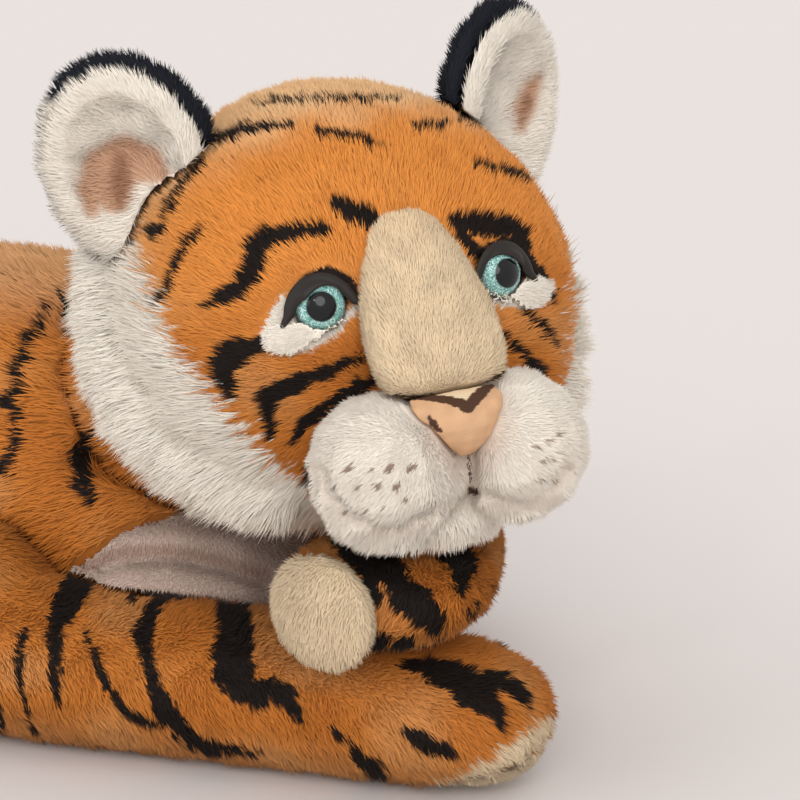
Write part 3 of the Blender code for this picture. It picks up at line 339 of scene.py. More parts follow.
# Stripes as the photograph shows them, in its pixels: across, down and width.
FACE_STRIPES = Strokes(
    ((326, 230, 12), (308, 229, 13), (290, 230, 15), (270, 237, 22), (257, 247, 26), (251, 266, 26),
     (244, 281, 22), (232, 292, 18), (217, 300, 12), (199, 306, 5)),
    ((336, 203, 13), (350, 209, 19), (366, 216, 20), (381, 223, 16)),
    ((202, 163, 8), (192, 174, 8), (179, 189, 7), (170, 203, 6), (163, 219, 5)),
    ((153, 232, 15), (160, 229, 11)),
    ((202, 224, 6), (190, 238, 7), (179, 255, 7), (173, 272, 7), (168, 288, 8), (153, 301, 9)),
    ((214, 140, 7), (232, 134, 9), (250, 129, 9), (273, 125, 8), (291, 125, 4)),
    ((316, 132, 4), (337, 134, 6), (357, 136, 6), (383, 146, 4)),
    ((255, 104, 3), (295, 100, 3), (337, 98, 4), (365, 99, 3), (398, 98, 3)),
    ((412, 124, 3), (425, 126, 5), (440, 126, 6), (447, 122, 3)),
    ((461, 120, 3), (478, 124, 3)),
    ((268, 345, 12), (255, 346, 19), (243, 349, 24), (231, 357, 30), (221, 366, 26), (226, 382, 20),
     (229, 395, 12)),
    ((372, 352, 4), (352, 361, 9), (332, 370, 12), (315, 375, 14), (301, 380, 18), (285, 387, 20),
     (270, 395, 22), (265, 412, 16), (269, 425, 10), (270, 436, 5)),
    ((378, 377, 12), (360, 386, 13), (345, 396, 13), (325, 407, 12), (306, 420, 12), (298, 431, 10),
     (293, 443, 5)),
    ((311, 462, 7), (309, 473, 9), (308, 484, 6)),
)
FAR_FACE_STRIPES = Strokes(
    ((474, 163, 4), (484, 165, 6), (497, 169, 6), (512, 173, 7), (528, 178, 6)),
    ((454, 221, 12), (466, 221, 19), (480, 223, 22), (497, 226, 20), (512, 227, 18), (521, 232, 16)),
    ((462, 236, 14), (474, 246, 10), (472, 254, 6)),
    ((519, 236, 18), (522, 250, 18), (526, 264, 16), (537, 273, 14), (547, 284, 10), (552, 297, 8),
     (553, 301, 4)),
    ((522, 309, 5), (534, 318, 7), (545, 327, 7), (553, 339, 6), (556, 346, 3)),
    ((503, 335, 6), (514, 345, 7), (524, 353, 8), (532, 362, 11), (541, 371, 10)),
)
FRECKLES = Strokes(
    ((346, 469, 6), (350, 468, 6)), ((371, 470, 4),), ((388, 470, 8), (391, 467, 6)),
    ((409, 470, 8), (413, 468, 6)), ((334, 488, 4),), ((356, 490, 5), (358, 488, 4)),
    ((377, 487, 7),), ((395, 489, 7), (397, 486, 5)), ((405, 501, 6),),
    ((344, 514, 4), (346, 511, 3)), ((366, 511, 4),), ((383, 508, 5),),
    ((534, 447, 3), (541, 447, 3)), ((548, 442, 4), (553, 440, 4)), ((559, 435, 4), (561, 433, 3)),
    ((543, 463, 3), (549, 460, 3)), ((553, 461, 4),), ((559, 454, 3), (561, 452, 3)),
    ((538, 481, 3), (545, 480, 3)), ((552, 481, 3), (557, 480, 3)),
    ((470, 490, 7), (476, 492, 6)),
)
# Where the white of the cheeks begins on the orange of the face
NEAR_WHITE = Strokes(
    ((66, 205, 128), (62, 245, 140), (83, 311, 140), (109, 375, 140), (162, 446, 140), (221, 510, 140),
     (258, 546, 140), (313, 568, 140)),
)
FAR_WHITE = Strokes(((586, 296, 24), (603, 340, 56), (612, 385, 84), (600, 440, 84), (575, 480, 80)))
EYE_WHITES = Strokes(
    ((264, 333, 8), (276, 337, 28), (292, 339, 32), (312, 335, 28), (334, 325, 20), (350, 313, 9),
     (358, 306, 4)),
    ((268, 330, 12), (277, 314, 16), (285, 301, 10)),
    ((286, 330, 14), (296, 318, 12)),
    ((488, 294, 12), (504, 298, 20), (522, 296, 24), (540, 288, 24), (549, 286, 14)),
)
# Dark round the eyes, with painted shade in the seam that runs down beside the near eye
EYE_DARKS = Strokes(
    ((350, 294, 8), (360, 303, 9), (368, 313, 7), (373, 330, 6), (376, 350, 4)),
    ((284, 312, 6), (296, 294, 10), (310, 276, 10), (328, 270, 10), (346, 278, 10), (358, 294, 8)),
    ((482, 268, 10), (488, 250, 12), (504, 242, 12), (520, 248, 14), (532, 268, 10)),
    ((462, 234, 12), (472, 246, 14), (478, 258, 8)),
)
# A dark rim round each eye, with painted shadow under the lid
EYE_RIMS_AND_LID_SHADOWS = Strokes(((320, 299, 54),), ((502, 272, 46),))
MOUTH = Strokes(
    ((466, 446, 3), (469, 464, 3), (471, 482, 3)),
    ((471, 490, 6), (476, 491, 6)),
)
# The warm hollow of each ear
EAR_HOLLOWS = Strokes(
    ((92, 210, 14), (93, 188, 32), (104, 168, 42), (124, 160, 48), (146, 164, 38), (160, 172, 18)),
    ((116, 176, 44), (114, 196, 34)),
    ((520, 128, 10), (524, 108, 22), (531, 88, 18), (537, 78, 8)),
)
# The dark rim along each ear's top
EAR_RIMS = Strokes(
    ((46, 104, 4), (54, 92, 8), (70, 75, 12), (94, 60, 14), (126, 51, 16), (160, 60, 14), (188, 86, 12),
     (205, 114, 12), (213, 136, 10)),
    ((442, 106, 16), (449, 80, 22), (458, 55, 24), (472, 32, 22), (490, 15, 18), (512, 6, 12)),
)
EAR_CORES = Strokes(((120, 160, 14), (122, 182, 22), (120, 204, 14)), ((522, 122, 6), (527, 100, 10)))
# Where the muzzle's lobes meet the jaw, drawn in and darkened with painted shade
LOBE_EDGE = Strokes(
    ((470, 498, 3), (442, 514, 3), (408, 531, 3), (380, 534, 3), (350, 520, 3), (326, 496, 3), (316, 470, 3)),
    ((478, 495, 3), (503, 505, 3), (528, 510, 3), (552, 496, 3), (568, 470, 3)),
    ((466, 446, 3), (469, 464, 3), (471, 490, 3)),
)
NOSE_SHADE = Strokes(
    ((394, 396, 3), (414, 397, 5), (434, 398, 7), (453, 401, 9), (468, 407, 13)),
    ((468, 407, 13), (481, 393, 11), (495, 380, 8), (507, 371, 3)),
    ((429, 418, 4), (434, 424, 8), (440, 431, 4)),
)
# The cream above the nose's dark line
NOSE_TOP = Strokes(((424, 394, 8), (446, 393, 14), (468, 392, 24), (484, 384, 14), (500, 374, 8)))
# The crease between the chest's folds, drawn in and darkened with painted shade
CHEST_CREASE = Strokes(((84, 568, 3), (120, 553, 3), (170, 551, 3), (220, 561, 3), (266, 576, 3)))
PAW_CREAM = Strokes(((440, 786, 8), (470, 779, 18), (502, 766, 28), (530, 746, 28), (549, 722, 14)))
LEG_STRIPES = Strokes(
    ((-4, 700, 8), (0, 716, 8), (2, 730, 8)),
    ((26, 630, 10), (21, 642, 9), (20, 655, 7), (21, 672, 9), (22, 686, 8), (27, 706, 7), (28, 716, 7),
     (34, 734, 4)),
    ((80, 583, 24), (74, 588, 32), (66, 604, 28), (57, 626, 21), (55, 650, 17), (54, 680, 13),
     (57, 696, 11), (61, 706, 4)),
    ((86, 634, 4), (92, 648, 7), (100, 670, 9), (109, 688, 8), (118, 702, 9), (129, 714, 9),
     (142, 723, 11), (154, 725, 10)),
    ((139, 582, 9), (135, 590, 11), (131, 601, 7)),
    ((174, 586, 10), (165, 592, 13), (152, 610, 15), (143, 634, 24), (147, 652, 16), (150, 668, 14),
     (152, 684, 18), (161, 706, 22), (172, 722, 24), (188, 736, 20), (210, 748, 15), (235, 751, 10),
     (257, 755, 6)),
    ((214, 588, 18), (224, 592, 26), (229, 606, 32), (235, 625, 36), (234, 650, 42), (234, 675, 42),
     (243, 690, 32), (258, 696, 30), (276, 689, 26), (288, 700, 22), (295, 712, 14), (304, 724, 6)),
    ((277, 607, 6), (286, 622, 10), (297, 638, 11), (306, 648, 7)),
    ((334, 730, 6), (345, 741, 11), (358, 756, 14), (370, 768, 18), (380, 776, 14)),
)
PAW_STRIPES = Strokes(
    ((404, 664, 10), (418, 667, 17), (434, 669, 26), (452, 676, 32), (466, 685, 36), (482, 697, 34),
     (494, 708, 26), (500, 720, 16), (504, 727, 8)),
    ((470, 676, 16), (489, 677, 14), (505, 681, 16), (517, 688, 18), (524, 699, 14), (526, 708, 8)),
    ((405, 733, 10), (417, 739, 18), (430, 745, 20), (444, 751, 18), (454, 757, 10)),
)
BENT_STRIPES = Strokes(
    ((334, 540, 8), (344, 549, 18), (356, 556, 26), (370, 565, 38), (384, 564, 38), (394, 578, 30),
     (404, 594, 34), (416, 606, 40), (428, 617, 34), (434, 627, 22)),
    ((366, 586, 24), (376, 597, 18)),
    ((380, 640, 20), (374, 655, 24), (388, 662, 24), (400, 656, 26), (406, 642, 18)),
    ((440, 550, 12), (452, 556, 24), (464, 562, 30), (463, 576, 22), (463, 590, 12)),
    ((478, 606, 5), (470, 616, 5)),
)
FLANK_STRIPES = Strokes(
    ((47, 306, 4), (43, 318, 8), (36, 330, 9), (26, 343, 10), (18, 360, 12), (14, 382, 12), (16, 400, 10),
     (15, 414, 8)),
    ((0, 402, 12), (8, 404, 14), (15, 408, 12)),
    ((14, 414, 7), (15, 440, 9), (9, 458, 12), (2, 470, 20)),
    ((62, 290, 3), (65, 300, 8), (68, 320, 9), (74, 335, 6)),
    ((92, 438, 14), (84, 446, 24), (79, 462, 24), (83, 480, 18), (87, 495, 16), (90, 506, 8)),
    ((-6, 530, 12), (2, 542, 14), (12, 556, 14), (20, 568, 10)),
)


@dataclass(frozen=True)
class Wrap:
    """Stripes that ring a rounded piece, for what the photograph doesn't show.

    Sizes are in metres along the piece and round it.
    """

    first: float
    last: float
    pitch: float
    width: float
    reach: float
    seed: int

    def strokes(self) -> Strokes:
        """Lays out the stripes: pairs that start at the spine and taper down each side."""
        rng = np.random.default_rng(self.seed)
        runs = []
        place = self.first
        while place < self.last:
            low = rng.uniform(0.0, 0.30) * self.reach
            high = rng.uniform(0.62, 1.0) * self.reach
            lean = rng.uniform(-0.5, 0.5) * self.pitch
            wide = self.width * rng.uniform(0.65, 1.25)
            wave = rng.uniform(-0.22, 0.22, size=7) * self.pitch
            run = []
            for number in range(7):
                share = number / 6
                swell = math.sin(math.pi * min(max(share, 0.04), 0.97)) ** 0.7
                run.append((place + lean * share + wave[number], low + (high - low) * share, wide * swell))
            runs.append(run)
            if rng.uniform() < 0.45:
                fork = run[2:6]
                runs.append(
                    [(x + self.pitch * 0.18 * (n + 1), y, w * 0.55) for n, (x, y, w) in enumerate(fork)]
                )
            place += self.pitch * rng.uniform(0.75, 1.3)
        return Strokes(*runs)


class Turf:
    """Makes pile fabric: a smooth skin from a CAD node with tufts planted on it."""

    def __init__(self) -> None:
        """Makes the tuft that every piece plants."""
        self.blade = self.tuft()
        self.share = 1.0

    @staticmethod
    def tuft() -> bpy.types.Object:
        """One three-sided tuft of height and width 1, its root at the origin.

        Returns:
            The tuft's object, which keeps its share of the height as an attribute.
        """
        bm = bmesh.new()
        made = bmesh.ops.create_circle(bm, segments=3, radius=0.5)
        ring = list({edge for vert in made["verts"] for edge in vert.link_edges})
        grown = bmesh.ops.extrude_edge_only(bm, edges=ring)
        verts = [item for item in grown["geom"] if isinstance(item, bmesh.types.BMVert)]
        bmesh.ops.translate(bm, verts=verts, vec=(0.0, 0.0, 1.0))
        tip = sum((vert.co for vert in verts), Vector()) / len(verts)
        bmesh.ops.pointmerge(bm, verts=verts, merge_co=tip)
        bmesh.ops.recalc_face_normals(bm, faces=bm.faces)
        mesh = mesh_of(bm, "tuft")
        mesh.shade_smooth()
        rise = mesh.attributes.new("along", "FLOAT", "POINT")
        heights = [min(max(vert.co.z, 0.0), 1.0) for vert in mesh.vertices]
        rise.data.foreach_set("value", heights)
        return bpy.data.objects.new("tuft", mesh)

    @staticmethod
    def finished(ob: bpy.types.Object, name: str) -> bpy.types.Mesh:
        """Applies an object's modifiers and removes the object.

        Args:
            ob: What to apply and remove.
            name: The new mesh's name.

        Returns:
            The mesh as its modifiers leave it.
        """
        bpy.context.view_layer.update()
        mesh = bpy.data.meshes.new_from_object(
            ob.evaluated_get(bpy.context.evaluated_depsgraph_get())
        )
        mesh.name = name
        bpy.data.objects.remove(ob)
        return mesh

    @staticmethod
    def linked(name: str, mesh: bpy.types.Mesh) -> bpy.types.Object:
        """Puts a mesh in the scene as an object."""
        ob = bpy.data.objects.new(name, mesh)
        bpy.context.scene.collection.objects.link(ob)
        return ob

    def skin(self, nodes: Sequence[str], voxel: float, soften: int, inset: float) -> bpy.types.Mesh:
        """The soft, even surface under the pile.

        Args:
            nodes: CAD nodes that it follows.
            voxel: How fine it is, in metres.
            soften: How often it is smoothed.
            inset: How far it lies inside the CAD form, in metres.

        Returns:
            A closed mesh.
        """
        bm = bmesh.new()
        for node in nodes:
            bm.from_mesh(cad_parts[node].data)
        bmesh.ops.remove_doubles(bm, verts=bm.verts, dist=WELD)
        ob = self.linked("skin", mesh_of(bm, "skin"))
        remesh = ob.modifiers.new("even", "REMESH")
        remesh.mode = "VOXEL"
        remesh.voxel_size = voxel
        ease = ob.modifiers.new("soften", "SMOOTH")
        ease.factor = 0.5
        ease.iterations = soften
        draw = ob.modifiers.new("draw_in", "DISPLACE")
        draw.mid_level = 0.0
        draw.strength = -inset
        return self.finished(ob, "skin")

    @staticmethod
    def new_tree(name: str) -> tuple[Graph, bpy.types.Node, bpy.types.Node]:
        """An empty Geometry Nodes tree with its way in and its way out."""
        tree = bpy.data.node_groups.new(name, "GeometryNodeTree")
        for side in ("INPUT", "OUTPUT"):
            tree.interface.new_socket("Geometry", in_out=side, socket_type="NodeSocketGeometry")
        graph = Graph(tree)
        return graph, graph.add("NodeGroupInput"), graph.add("NodeGroupOutput")

    @staticmethod
    def scatter_tree(density: float, seed: int) -> bpy.types.NodeTree:
        """Nodes that scatter roots over a skin and keep the skin's normal there."""
        graph, start, end = Turf.new_tree("scatter")
        spread = graph.add(
            "GeometryNodeDistributePointsOnFaces", {"Density": density, "Seed": seed},
            distribute_method="RANDOM",
        )
        keep = graph.add(
            "GeometryNodeStoreNamedAttribute", {"Name": "skin_normal"}, data_type="FLOAT_VECTOR"
        )
        verts = graph.add("GeometryNodePointsToVertices")
        graph.join(
            (start, 0, spread, "Mesh"),
            (spread, "Points", keep, "Geometry"),
            (spread, "Normal", keep, "Value"),
            (keep, "Geometry", verts, "Points"),
            (verts, "Mesh", end, 0),
        )
        return graph.tree

    @staticmethod
    def plant_tree(tuft: bpy.types.Object, skin: bpy.types.Object) -> bpy.types.NodeTree:
        """Nodes that plant a tuft at every root and join the skin."""
        graph, start, end = Turf.new_tree("plant")
        plant = graph.add("GeometryNodeInstanceOnPoints")
        turn = graph.add("FunctionNodeAxesToRotation", primary_axis="Z", secondary_axis="X")
        shape = graph.add("GeometryNodeObjectInfo", {"Object": tuft})
        under = graph.add("GeometryNodeObjectInfo", {"Object": skin})
        real = graph.add("GeometryNodeRealizeInstances")
        both = graph.add("GeometryNodeJoinGeometry")
        for name, kind, target, socket in (
            ("lay", "FLOAT_VECTOR", turn, 0),
            ("bend", "FLOAT_VECTOR", turn, 1),
            ("size", "FLOAT_VECTOR", plant, "Scale"),
            ("keep", "BOOLEAN", plant, "Selection"),
        ):
            read = graph.add("GeometryNodeInputNamedAttribute", {"Name": name}, data_type=kind)
            graph.join((read, "Attribute", target, socket))
        graph.join(
            (start, 0, plant, "Points"),
            (shape, "Geometry", plant, "Instance"),
            (turn, 0, plant, "Rotation"),
            (plant, "Instances", real, "Geometry"),
            (under, "Geometry", both, 0),
            (real, "Geometry", both, 0),
            (both, 0, end, 0),
        )
        return graph.tree

    @staticmethod
    def grouped(ob: bpy.types.Object, tree: bpy.types.NodeTree) -> bpy.types.Object:
        """Gives an object a Geometry Nodes modifier."""
        modifier = ob.modifiers.new(tree.name, "NODES")
        modifier.node_group = tree
        return ob

    @staticmethod
    def write(mesh: bpy.types.Mesh, name: str, kind: str, values: Array) -> None:
        """Stores one value a vertex under a name."""
        layer = mesh.attributes.new(name, kind, "POINT")
        key = {"FLOAT_VECTOR": "vector", "FLOAT_COLOR": "color"}.get(kind, "value")
        layer.data.foreach_set(key, np.ascontiguousarray(values).ravel())

    def write_tint(self, mesh: bpy.types.Mesh, name: str, tint: Array) -> None:
        """Stores one opaque colour a vertex under a name."""
        rgba = np.hstack((tint, np.ones((len(tint), 1))))
        self.write(mesh, name, "FLOAT_COLOR", rgba.astype(np.float32))

    @staticmethod
    def read(mesh: bpy.types.Mesh, name: str, width: int) -> Array:
        """Reads one value a vertex by name."""
        values = np.zeros(len(mesh.vertices) * width, np.float32)
        key = {3: "vector", 1: "value", 4: "color"}[width]
        mesh.attributes[name].data.foreach_get(key, values)
        return values.reshape(-1, width) if width > 1 else values

    @staticmethod
    def places(mesh: bpy.types.Mesh) -> Array:
        """A mesh's vertices, one a row."""
        values = np.zeros(len(mesh.vertices) * 3, np.float32)
        mesh.vertices.foreach_get("co", values)
        return values.reshape(-1, 3).astype(float)

    @staticmethod
    def neighbours(nodes: Sequence[str]) -> BVHTree:
        """What lies round a piece: the surfaces of every other CAD node."""
        verts, faces = [], []
        for name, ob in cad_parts.items():
            if name in nodes:
                continue
            first = len(verts)
            verts += [vert.co.copy() for vert in ob.data.vertices]
            faces += [[first + index for index in face.vertices] for face in ob.data.polygons]
        return BVHTree.FromPolygons(verts, faces)

    @staticmethod
    def uncovered(roots: Array, normals: Array, around: BVHTree, room: float) -> Array:
        """Which roots no neighbour covers.

        Args:
            roots: Places of the roots.
            normals: The skin's normals there.
            around: The neighbours' surfaces.
            room: How near a neighbour may be, in metres.

        Returns:
            True where a tuft can grow.
        """
        free = np.ones(len(roots), bool)
        cast = around.ray_cast
        for number, (root, normal) in enumerate(zip(roots.tolist(), normals.tolist())):
            way = Vector(normal)
            _, face, _, gap = cast(Vector(root), way)
            if gap is not None and (gap < room or face.dot(way) > 0):
                free[number] = False
        return free

    def shaped(self, mesh: bpy.types.Mesh, piece: FurPiece) -> None:
        """Moves a skin's vertices as the piece's shape says."""
        if piece.shape is not None:
            moved = piece.shape(self.places(mesh), self.normals(mesh))
            mesh.vertices.foreach_set("co", moved.astype(np.float32).ravel())
            mesh.update()

    def mounted(self, mesh: bpy.types.Mesh, piece: FurPiece) -> bpy.types.Object:
        """Puts a finished mesh on its body and in place of its nodes."""
        ob = self.linked(piece.name, mesh)
        mesh.materials.clear()
        mesh.materials.append(piece.finish.material())
        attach(ob, piece.body)
        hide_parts(*piece.nodes)
        LOG.info("%s: %d faces", piece.name, len(mesh.polygons))
        return ob

    def cover(self, piece: FurPiece) -> bpy.types.Object:
        """Makes one piece of pile fabric.

        Args:
            piece: What to make.

        Returns:
            The finished object, which rides on its body.
        """
        skin_mesh = self.skin(piece.nodes, piece.voxel, piece.soften, piece.pile.inset)
        self.shaped(skin_mesh, piece)
        skin = self.linked("skin", skin_mesh)
        density = piece.pile.per_mm2 * 1e6 * self.share
        sown = self.linked("sown", skin_mesh.copy())
        points = self.finished(self.grouped(sown, self.scatter_tree(density, SEED)), "roots")
        roots = self.places(points)
        normals = unit(self.read(points, "skin_normal", 3).astype(float))
        keep = self.uncovered(roots, normals, self.neighbours(piece.nodes), piece.room)
        keep &= ~((roots[:, 2] < FLOOR_ROOM) & (normals[:, 2] < FLOOR_FACING))
        if piece.bare is not None:
            keep &= ~piece.bare(roots, normals)
        self.lay(points, piece, roots, normals)
        self.write(points, "keep", "BOOLEAN", keep)
        self.paint_skin(skin_mesh, piece)
        planted = self.grouped(self.linked("roots", points), self.plant_tree(self.blade, skin))
        mesh = self.finished(planted, piece.name)
        bpy.data.objects.remove(skin)
        self.finish(mesh)
        return self.mounted(mesh, piece)

    def cloth(self, piece: FurPiece) -> bpy.types.Object:
        """Makes one piece of smooth cloth, which has no pile.

        Args:
            piece: What to make.

        Returns:
            The finished object, which rides on its body.
        """
        mesh = self.skin(piece.nodes, piece.voxel, piece.soften, 0.0)
        mesh.name = piece.name
        self.shaped(mesh, piece)
        self.write_tint(mesh, "coat", piece.paint(self.places(mesh), self.normals(mesh)))
        mesh.shade_smooth()
        return self.mounted(mesh, piece)

    @staticmethod
    def normals(mesh: bpy.types.Mesh) -> Array:
        """A mesh's vertex normals, one a row."""
        values = np.zeros(len(mesh.vertices) * 3, np.float32)
        mesh.vertex_normals.foreach_get("vector", values)
        return values.reshape(-1, 3).astype(float)

    def lay(self, points: bpy.types.Mesh, piece: FurPiece, roots: Array, normals: Array) -> None:
        """Writes which way each tuft lies, how big it is and what colour.

        Args:
            points: The roots' mesh, which takes the attributes.
            piece: The piece that they belong to.
            roots: Places of the roots.
            normals: The skin's normals there.
        """
        pile = piece.pile
        rng = np.random.default_rng(SEED + len(roots))
        comb = piece.comb(roots, normals)
        comb = unit(comb - normals * np.einsum("ij,ij->i", comb, normals)[:, None])
        locks = np.stack([waves(roots, 0.011, SEED + axis) for axis in range(3)], axis=1)
        share = piece.length_share(roots, normals)
        tilt = pile.lean + 8.0 * np.clip(share - 1, 0, 1.6)
        lean = np.radians(tilt) * (1 + 0.20 * waves(roots, 0.016, SEED + 7))
        way = normals * np.cos(lean)[:, None] + comb * np.sin(lean)[:, None]
        way = unit(way + locks * pile.swirl + rng.normal(size=roots.shape) * pile.stray)
        rise = np.einsum("ij,ij->i", way, normals)
        way = unit(way + normals * np.maximum(0.22 - rise, 0.0)[:, None])
        length = pile.length * rng.uniform(0.72, 1.18, len(roots)) * share
        way = self.above_floor(way, comb, (GROUND - roots[:, 2]) / length)
        girth = pile.girth * rng.uniform(0.8, 1.2, len(roots)) / math.sqrt(self.share)
        girth = girth * np.sqrt(np.clip(share, 0.6, 2.0))
        middle = roots + way * (length * 0.5)[:, None]
        tips = piece.paint(middle, normals)
        tips = tips * (1 + rng.normal(0, pile.jitter, len(roots)))[:, None]
        bend = -normals + comb * 0.6 + rng.normal(size=roots.shape) * 2.0
        size = np.stack((girth, girth, length), axis=1)
        self.write(points, "lay", "FLOAT_VECTOR", way.astype(np.float32))
        self.write(points, "bend", "FLOAT_VECTOR", unit(bend).astype(np.float32))
        self.write(points, "size", "FLOAT_VECTOR", size.astype(np.float32))
        self.write_tint(points, "tint", tips)
        self.write(points, "shade", "FLOAT", np.full(len(roots), pile.root_shade, np.float32))

    @staticmethod
    def above_floor(way: Array, comb: Array, least: Array) -> Array:
        """Turns tufts that would reach through the floor level with it.

        Args:
            way: Which way each tuft points.
            comb: Which way it is combed, for a tuft that points straight down.
            least: The least rise that keeps each tip above the floor.

        Returns:
            Directions of length one.
        """
        rise = np.maximum(way[:, 2], np.clip(least, -1, 1))
        flat = way[:, :2]
        flat = np.where((np.linalg.norm(flat, axis=1) < 0.05)[:, None], comb[:, :2] + 1e-6, flat)
        run = np.sqrt(np.maximum(1 - rise**2, 0.0))
        return np.hstack((unit(flat) * run[:, None], rise[:, None]))

    def paint_skin(self, mesh: bpy.types.Mesh, piece: FurPiece) -> None:
        """Colours the skin as its tufts' roots, darkened by the skin shade as painted shade."""
        normals = self.normals(mesh)
        tint = piece.paint(self.places(mesh), normals) * piece.skin_shade
        self.write_tint(mesh, "tint", tint)
        self.write(mesh, "skin_normal", "FLOAT_VECTOR", normals.astype(np.float32))
        self.write(mesh, "shade", "FLOAT", np.ones(len(tint), np.float32))

    def finish(self, mesh: bpy.types.Mesh) -> None:
        """Darkens each tuft's colour towards its root as painted shade, a touch lighter at the tip, and
        softens its shading towards the skin's.
        """
        along = self.read(mesh, "along", 1)
        tint = self.read(mesh, "tint", 4)
        shade = self.read(mesh, "shade", 1)
        # painted shade: dark at the root, a touch lighter than the tuft's colour at the tip
        lit = shade + (1.06 - shade) * along
        lit[shade > 0.99] = 1.0
        tint[:, :3] = np.clip(tint[:, :3] * lit[:, None], 0, 1)
        soft = self.read(mesh, "skin_normal", 3).astype(float)
        own = self.normals(mesh)
        shading = unit(unit(soft) * 0.84 + own * 0.16)
        for name in ("along", "tint", "shade", "skin_normal", "size", "lay", "bend", "keep"):
            layer = mesh.attributes.get(name)
            if layer is not None:
                mesh.attributes.remove(layer)
        coat = mesh.color_attributes.new("coat", "FLOAT_COLOR", "POINT")
        coat.data.foreach_set("color", tint.ravel())
        mesh.shade_smooth()
        mesh.normals_split_custom_set_from_vertices(shading.tolist())


@dataclass(frozen=True)
class PileFinish:
    """How pile fabric takes the light. The colour comes from each tuft."""

    name: str
    roughness: float = 0.75
    sheen: float = 0.18
    sheen_tint: Rgb = (1.0, 0.86, 0.70)
    mottle: float = 0.10

    def material(self) -> bpy.types.Material:
        """The finish as a material, made once."""
        found = bpy.data.materials.get(self.name)
        if found is not None:
            return found
        tint = (*self.sheen_tint, 1.0)
        made, graph, shader = fresh_material(self.name, {
            "Roughness": self.roughness,
            "Specular IOR Level": 0.2,
            "Sheen Weight": self.sheen,
            "Sheen Roughness": 0.45,
            "Sheen Tint": tint,
        })
        coat = graph.add("ShaderNodeAttribute", attribute_name="coat")
        where = graph.add("ShaderNodeTexCoord")
        mottle = graph.add("ShaderNodeTexNoise", {"Scale": 90.0, "Detail": 3.0})
        span = graph.add(
            "ShaderNodeMapRange", {"To Min": 1 - self.mottle, "To Max": 1 + self.mottle}
        )
        tone = graph.add("ShaderNodeVectorMath", operation="SCALE")
        glow = graph.add(
            "ShaderNodeMix", {"Factor": 0.85, "A": tint}, data_type="RGBA", blend_type="MULTIPLY"
        )
        graph.join(
            (where, "Object", mottle, "Vector"),
            (mottle, "Fac", span, "Value"),
            (coat, "Color", tone, "Vector"),
            (span, "Result", tone, "Scale"),
            (tone, "Vector", shader, "Base Color"),
            (tone, "Vector", glow, "B"),
            (glow, "Result", shader, "Sheen Tint"),
        )
        return made


@dataclass(frozen=True)
class ClothFinish(PileFinish):
    """Smooth woven cloth."""

    threads: float = 1400.0

    def material(self) -> bpy.types.Material:
        """The pile's material with a fine weave in place of its tufts."""
        found = bpy.data.materials.get(self.name)
        if found is not None:
            return found
        made = super().material()
        graph = Graph(made.node_tree)
        where = graph.add("ShaderNodeTexCoord")
        weave = graph.add("ShaderNodeTexVoronoi", {"Scale": self.threads})
        crease = graph.add("ShaderNodeTexNoise", {"Scale": 260.0})
        fine = graph.add("ShaderNodeBump", {"Strength": 0.35, "Distance": 0.0003})
        broad = graph.add("ShaderNodeBump", {"Strength": 0.5, "Distance": 0.0008})
        graph.join(
            (where, "Object", weave, "Vector"),
            (where, "Object", crease, "Vector"),
            (weave, "Distance", fine, "Height"),
            (crease, "Fac", broad, "Height"),
            (broad, "Normal", fine, "Normal"),
            (fine, "Normal", made.node_tree.nodes["Principled BSDF"], "Normal"),
        )
        return made


NOSE_CLOTH = ClothFinish("nose_felt", roughness=0.62, sheen=0.2, mottle=0.06)
ORANGE_PILE = PileFinish("orange_pile")
WHITE_PILE = PileFinish("white_pile", sheen=0.30, sheen_tint=(1.0, 1.0, 1.0), mottle=0.04)
DARK_PILE = PileFinish("dark_pile", sheen=0.06, sheen_tint=(0.7, 0.75, 0.9))


def every_length(roots: Array, _normals: Array) -> Array:
    """The same length all over."""
    return np.ones(len(roots))


@dataclass
class FurPiece:
    """One piece of pile fabric: what it covers, how its pile lies and how it is coloured."""

    name: str
    nodes: tuple[str, ...]
    body: str
    slot: str
    pile: Pile
    comb: Field
    paint: Field
    finish: PileFinish = ORANGE_PILE
    voxel: float = 0.0028
    soften: int = 6
    room: float = 0.0035
    fill: float = 0.7
    # painted shade: how much darker the skin under the tufts is painted
    skin_shade: float = 0.62
    shape: Field | None = None
    bare: Field | None = None
    length_share: Field = every_length


def toward(direction: Sequence[float]) -> Field:
    """A lay that points one way all over."""
    way = np.array(direction, float)

    def comb(roots: Array, _normals: Array) -> Array:
        return np.broadcast_to(way, roots.shape).copy()

    return comb


def plain(tint: Tint, unevenness: float = 0.05) -> Field:
    """One colour with a slight unevenness."""

    def paint(places: Array, _normals: Array) -> Array:
        tone = 1 + unevenness * waves(places, 0.03, 5)
        return tint.rgb * tone[:, None]

    return paint


def ragged(depth: Array, places: Array, soft: float, size: float, seed: int) -> Array:
    """Turns depth inside a stroke into a feathered share.

    Args:
        depth: How deep each place lies inside its stroke.
        places: The places, in metres.
        soft: How far the edge wanders, in the stroke's own unit.
        size: How long its notches are, in metres.
        seed: Which unevenness.

    Returns:
        1 inside a stroke and 0 outside.
    """
    wander = waves(places, size, seed) * soft + waves(places, size / 3, seed + 1) * soft * 0.5
    return smooth_step(depth + wander, -0.4 * soft, 0.5 * soft)


def orange_base(places: Array) -> Array:
    """The orange ground of the coat, deeper and paler in patches."""
    tone = waves(places, 0.055, 11)
    ground = mix(np.broadcast_to(Tint.ORANGE.rgb, places.shape), Tint.DEEP.rgb, np.clip(tone, 0, 1) * 0.35)
    return mix(ground, Tint.TAN.rgb, np.clip(-tone, 0, 1) * 0.35)


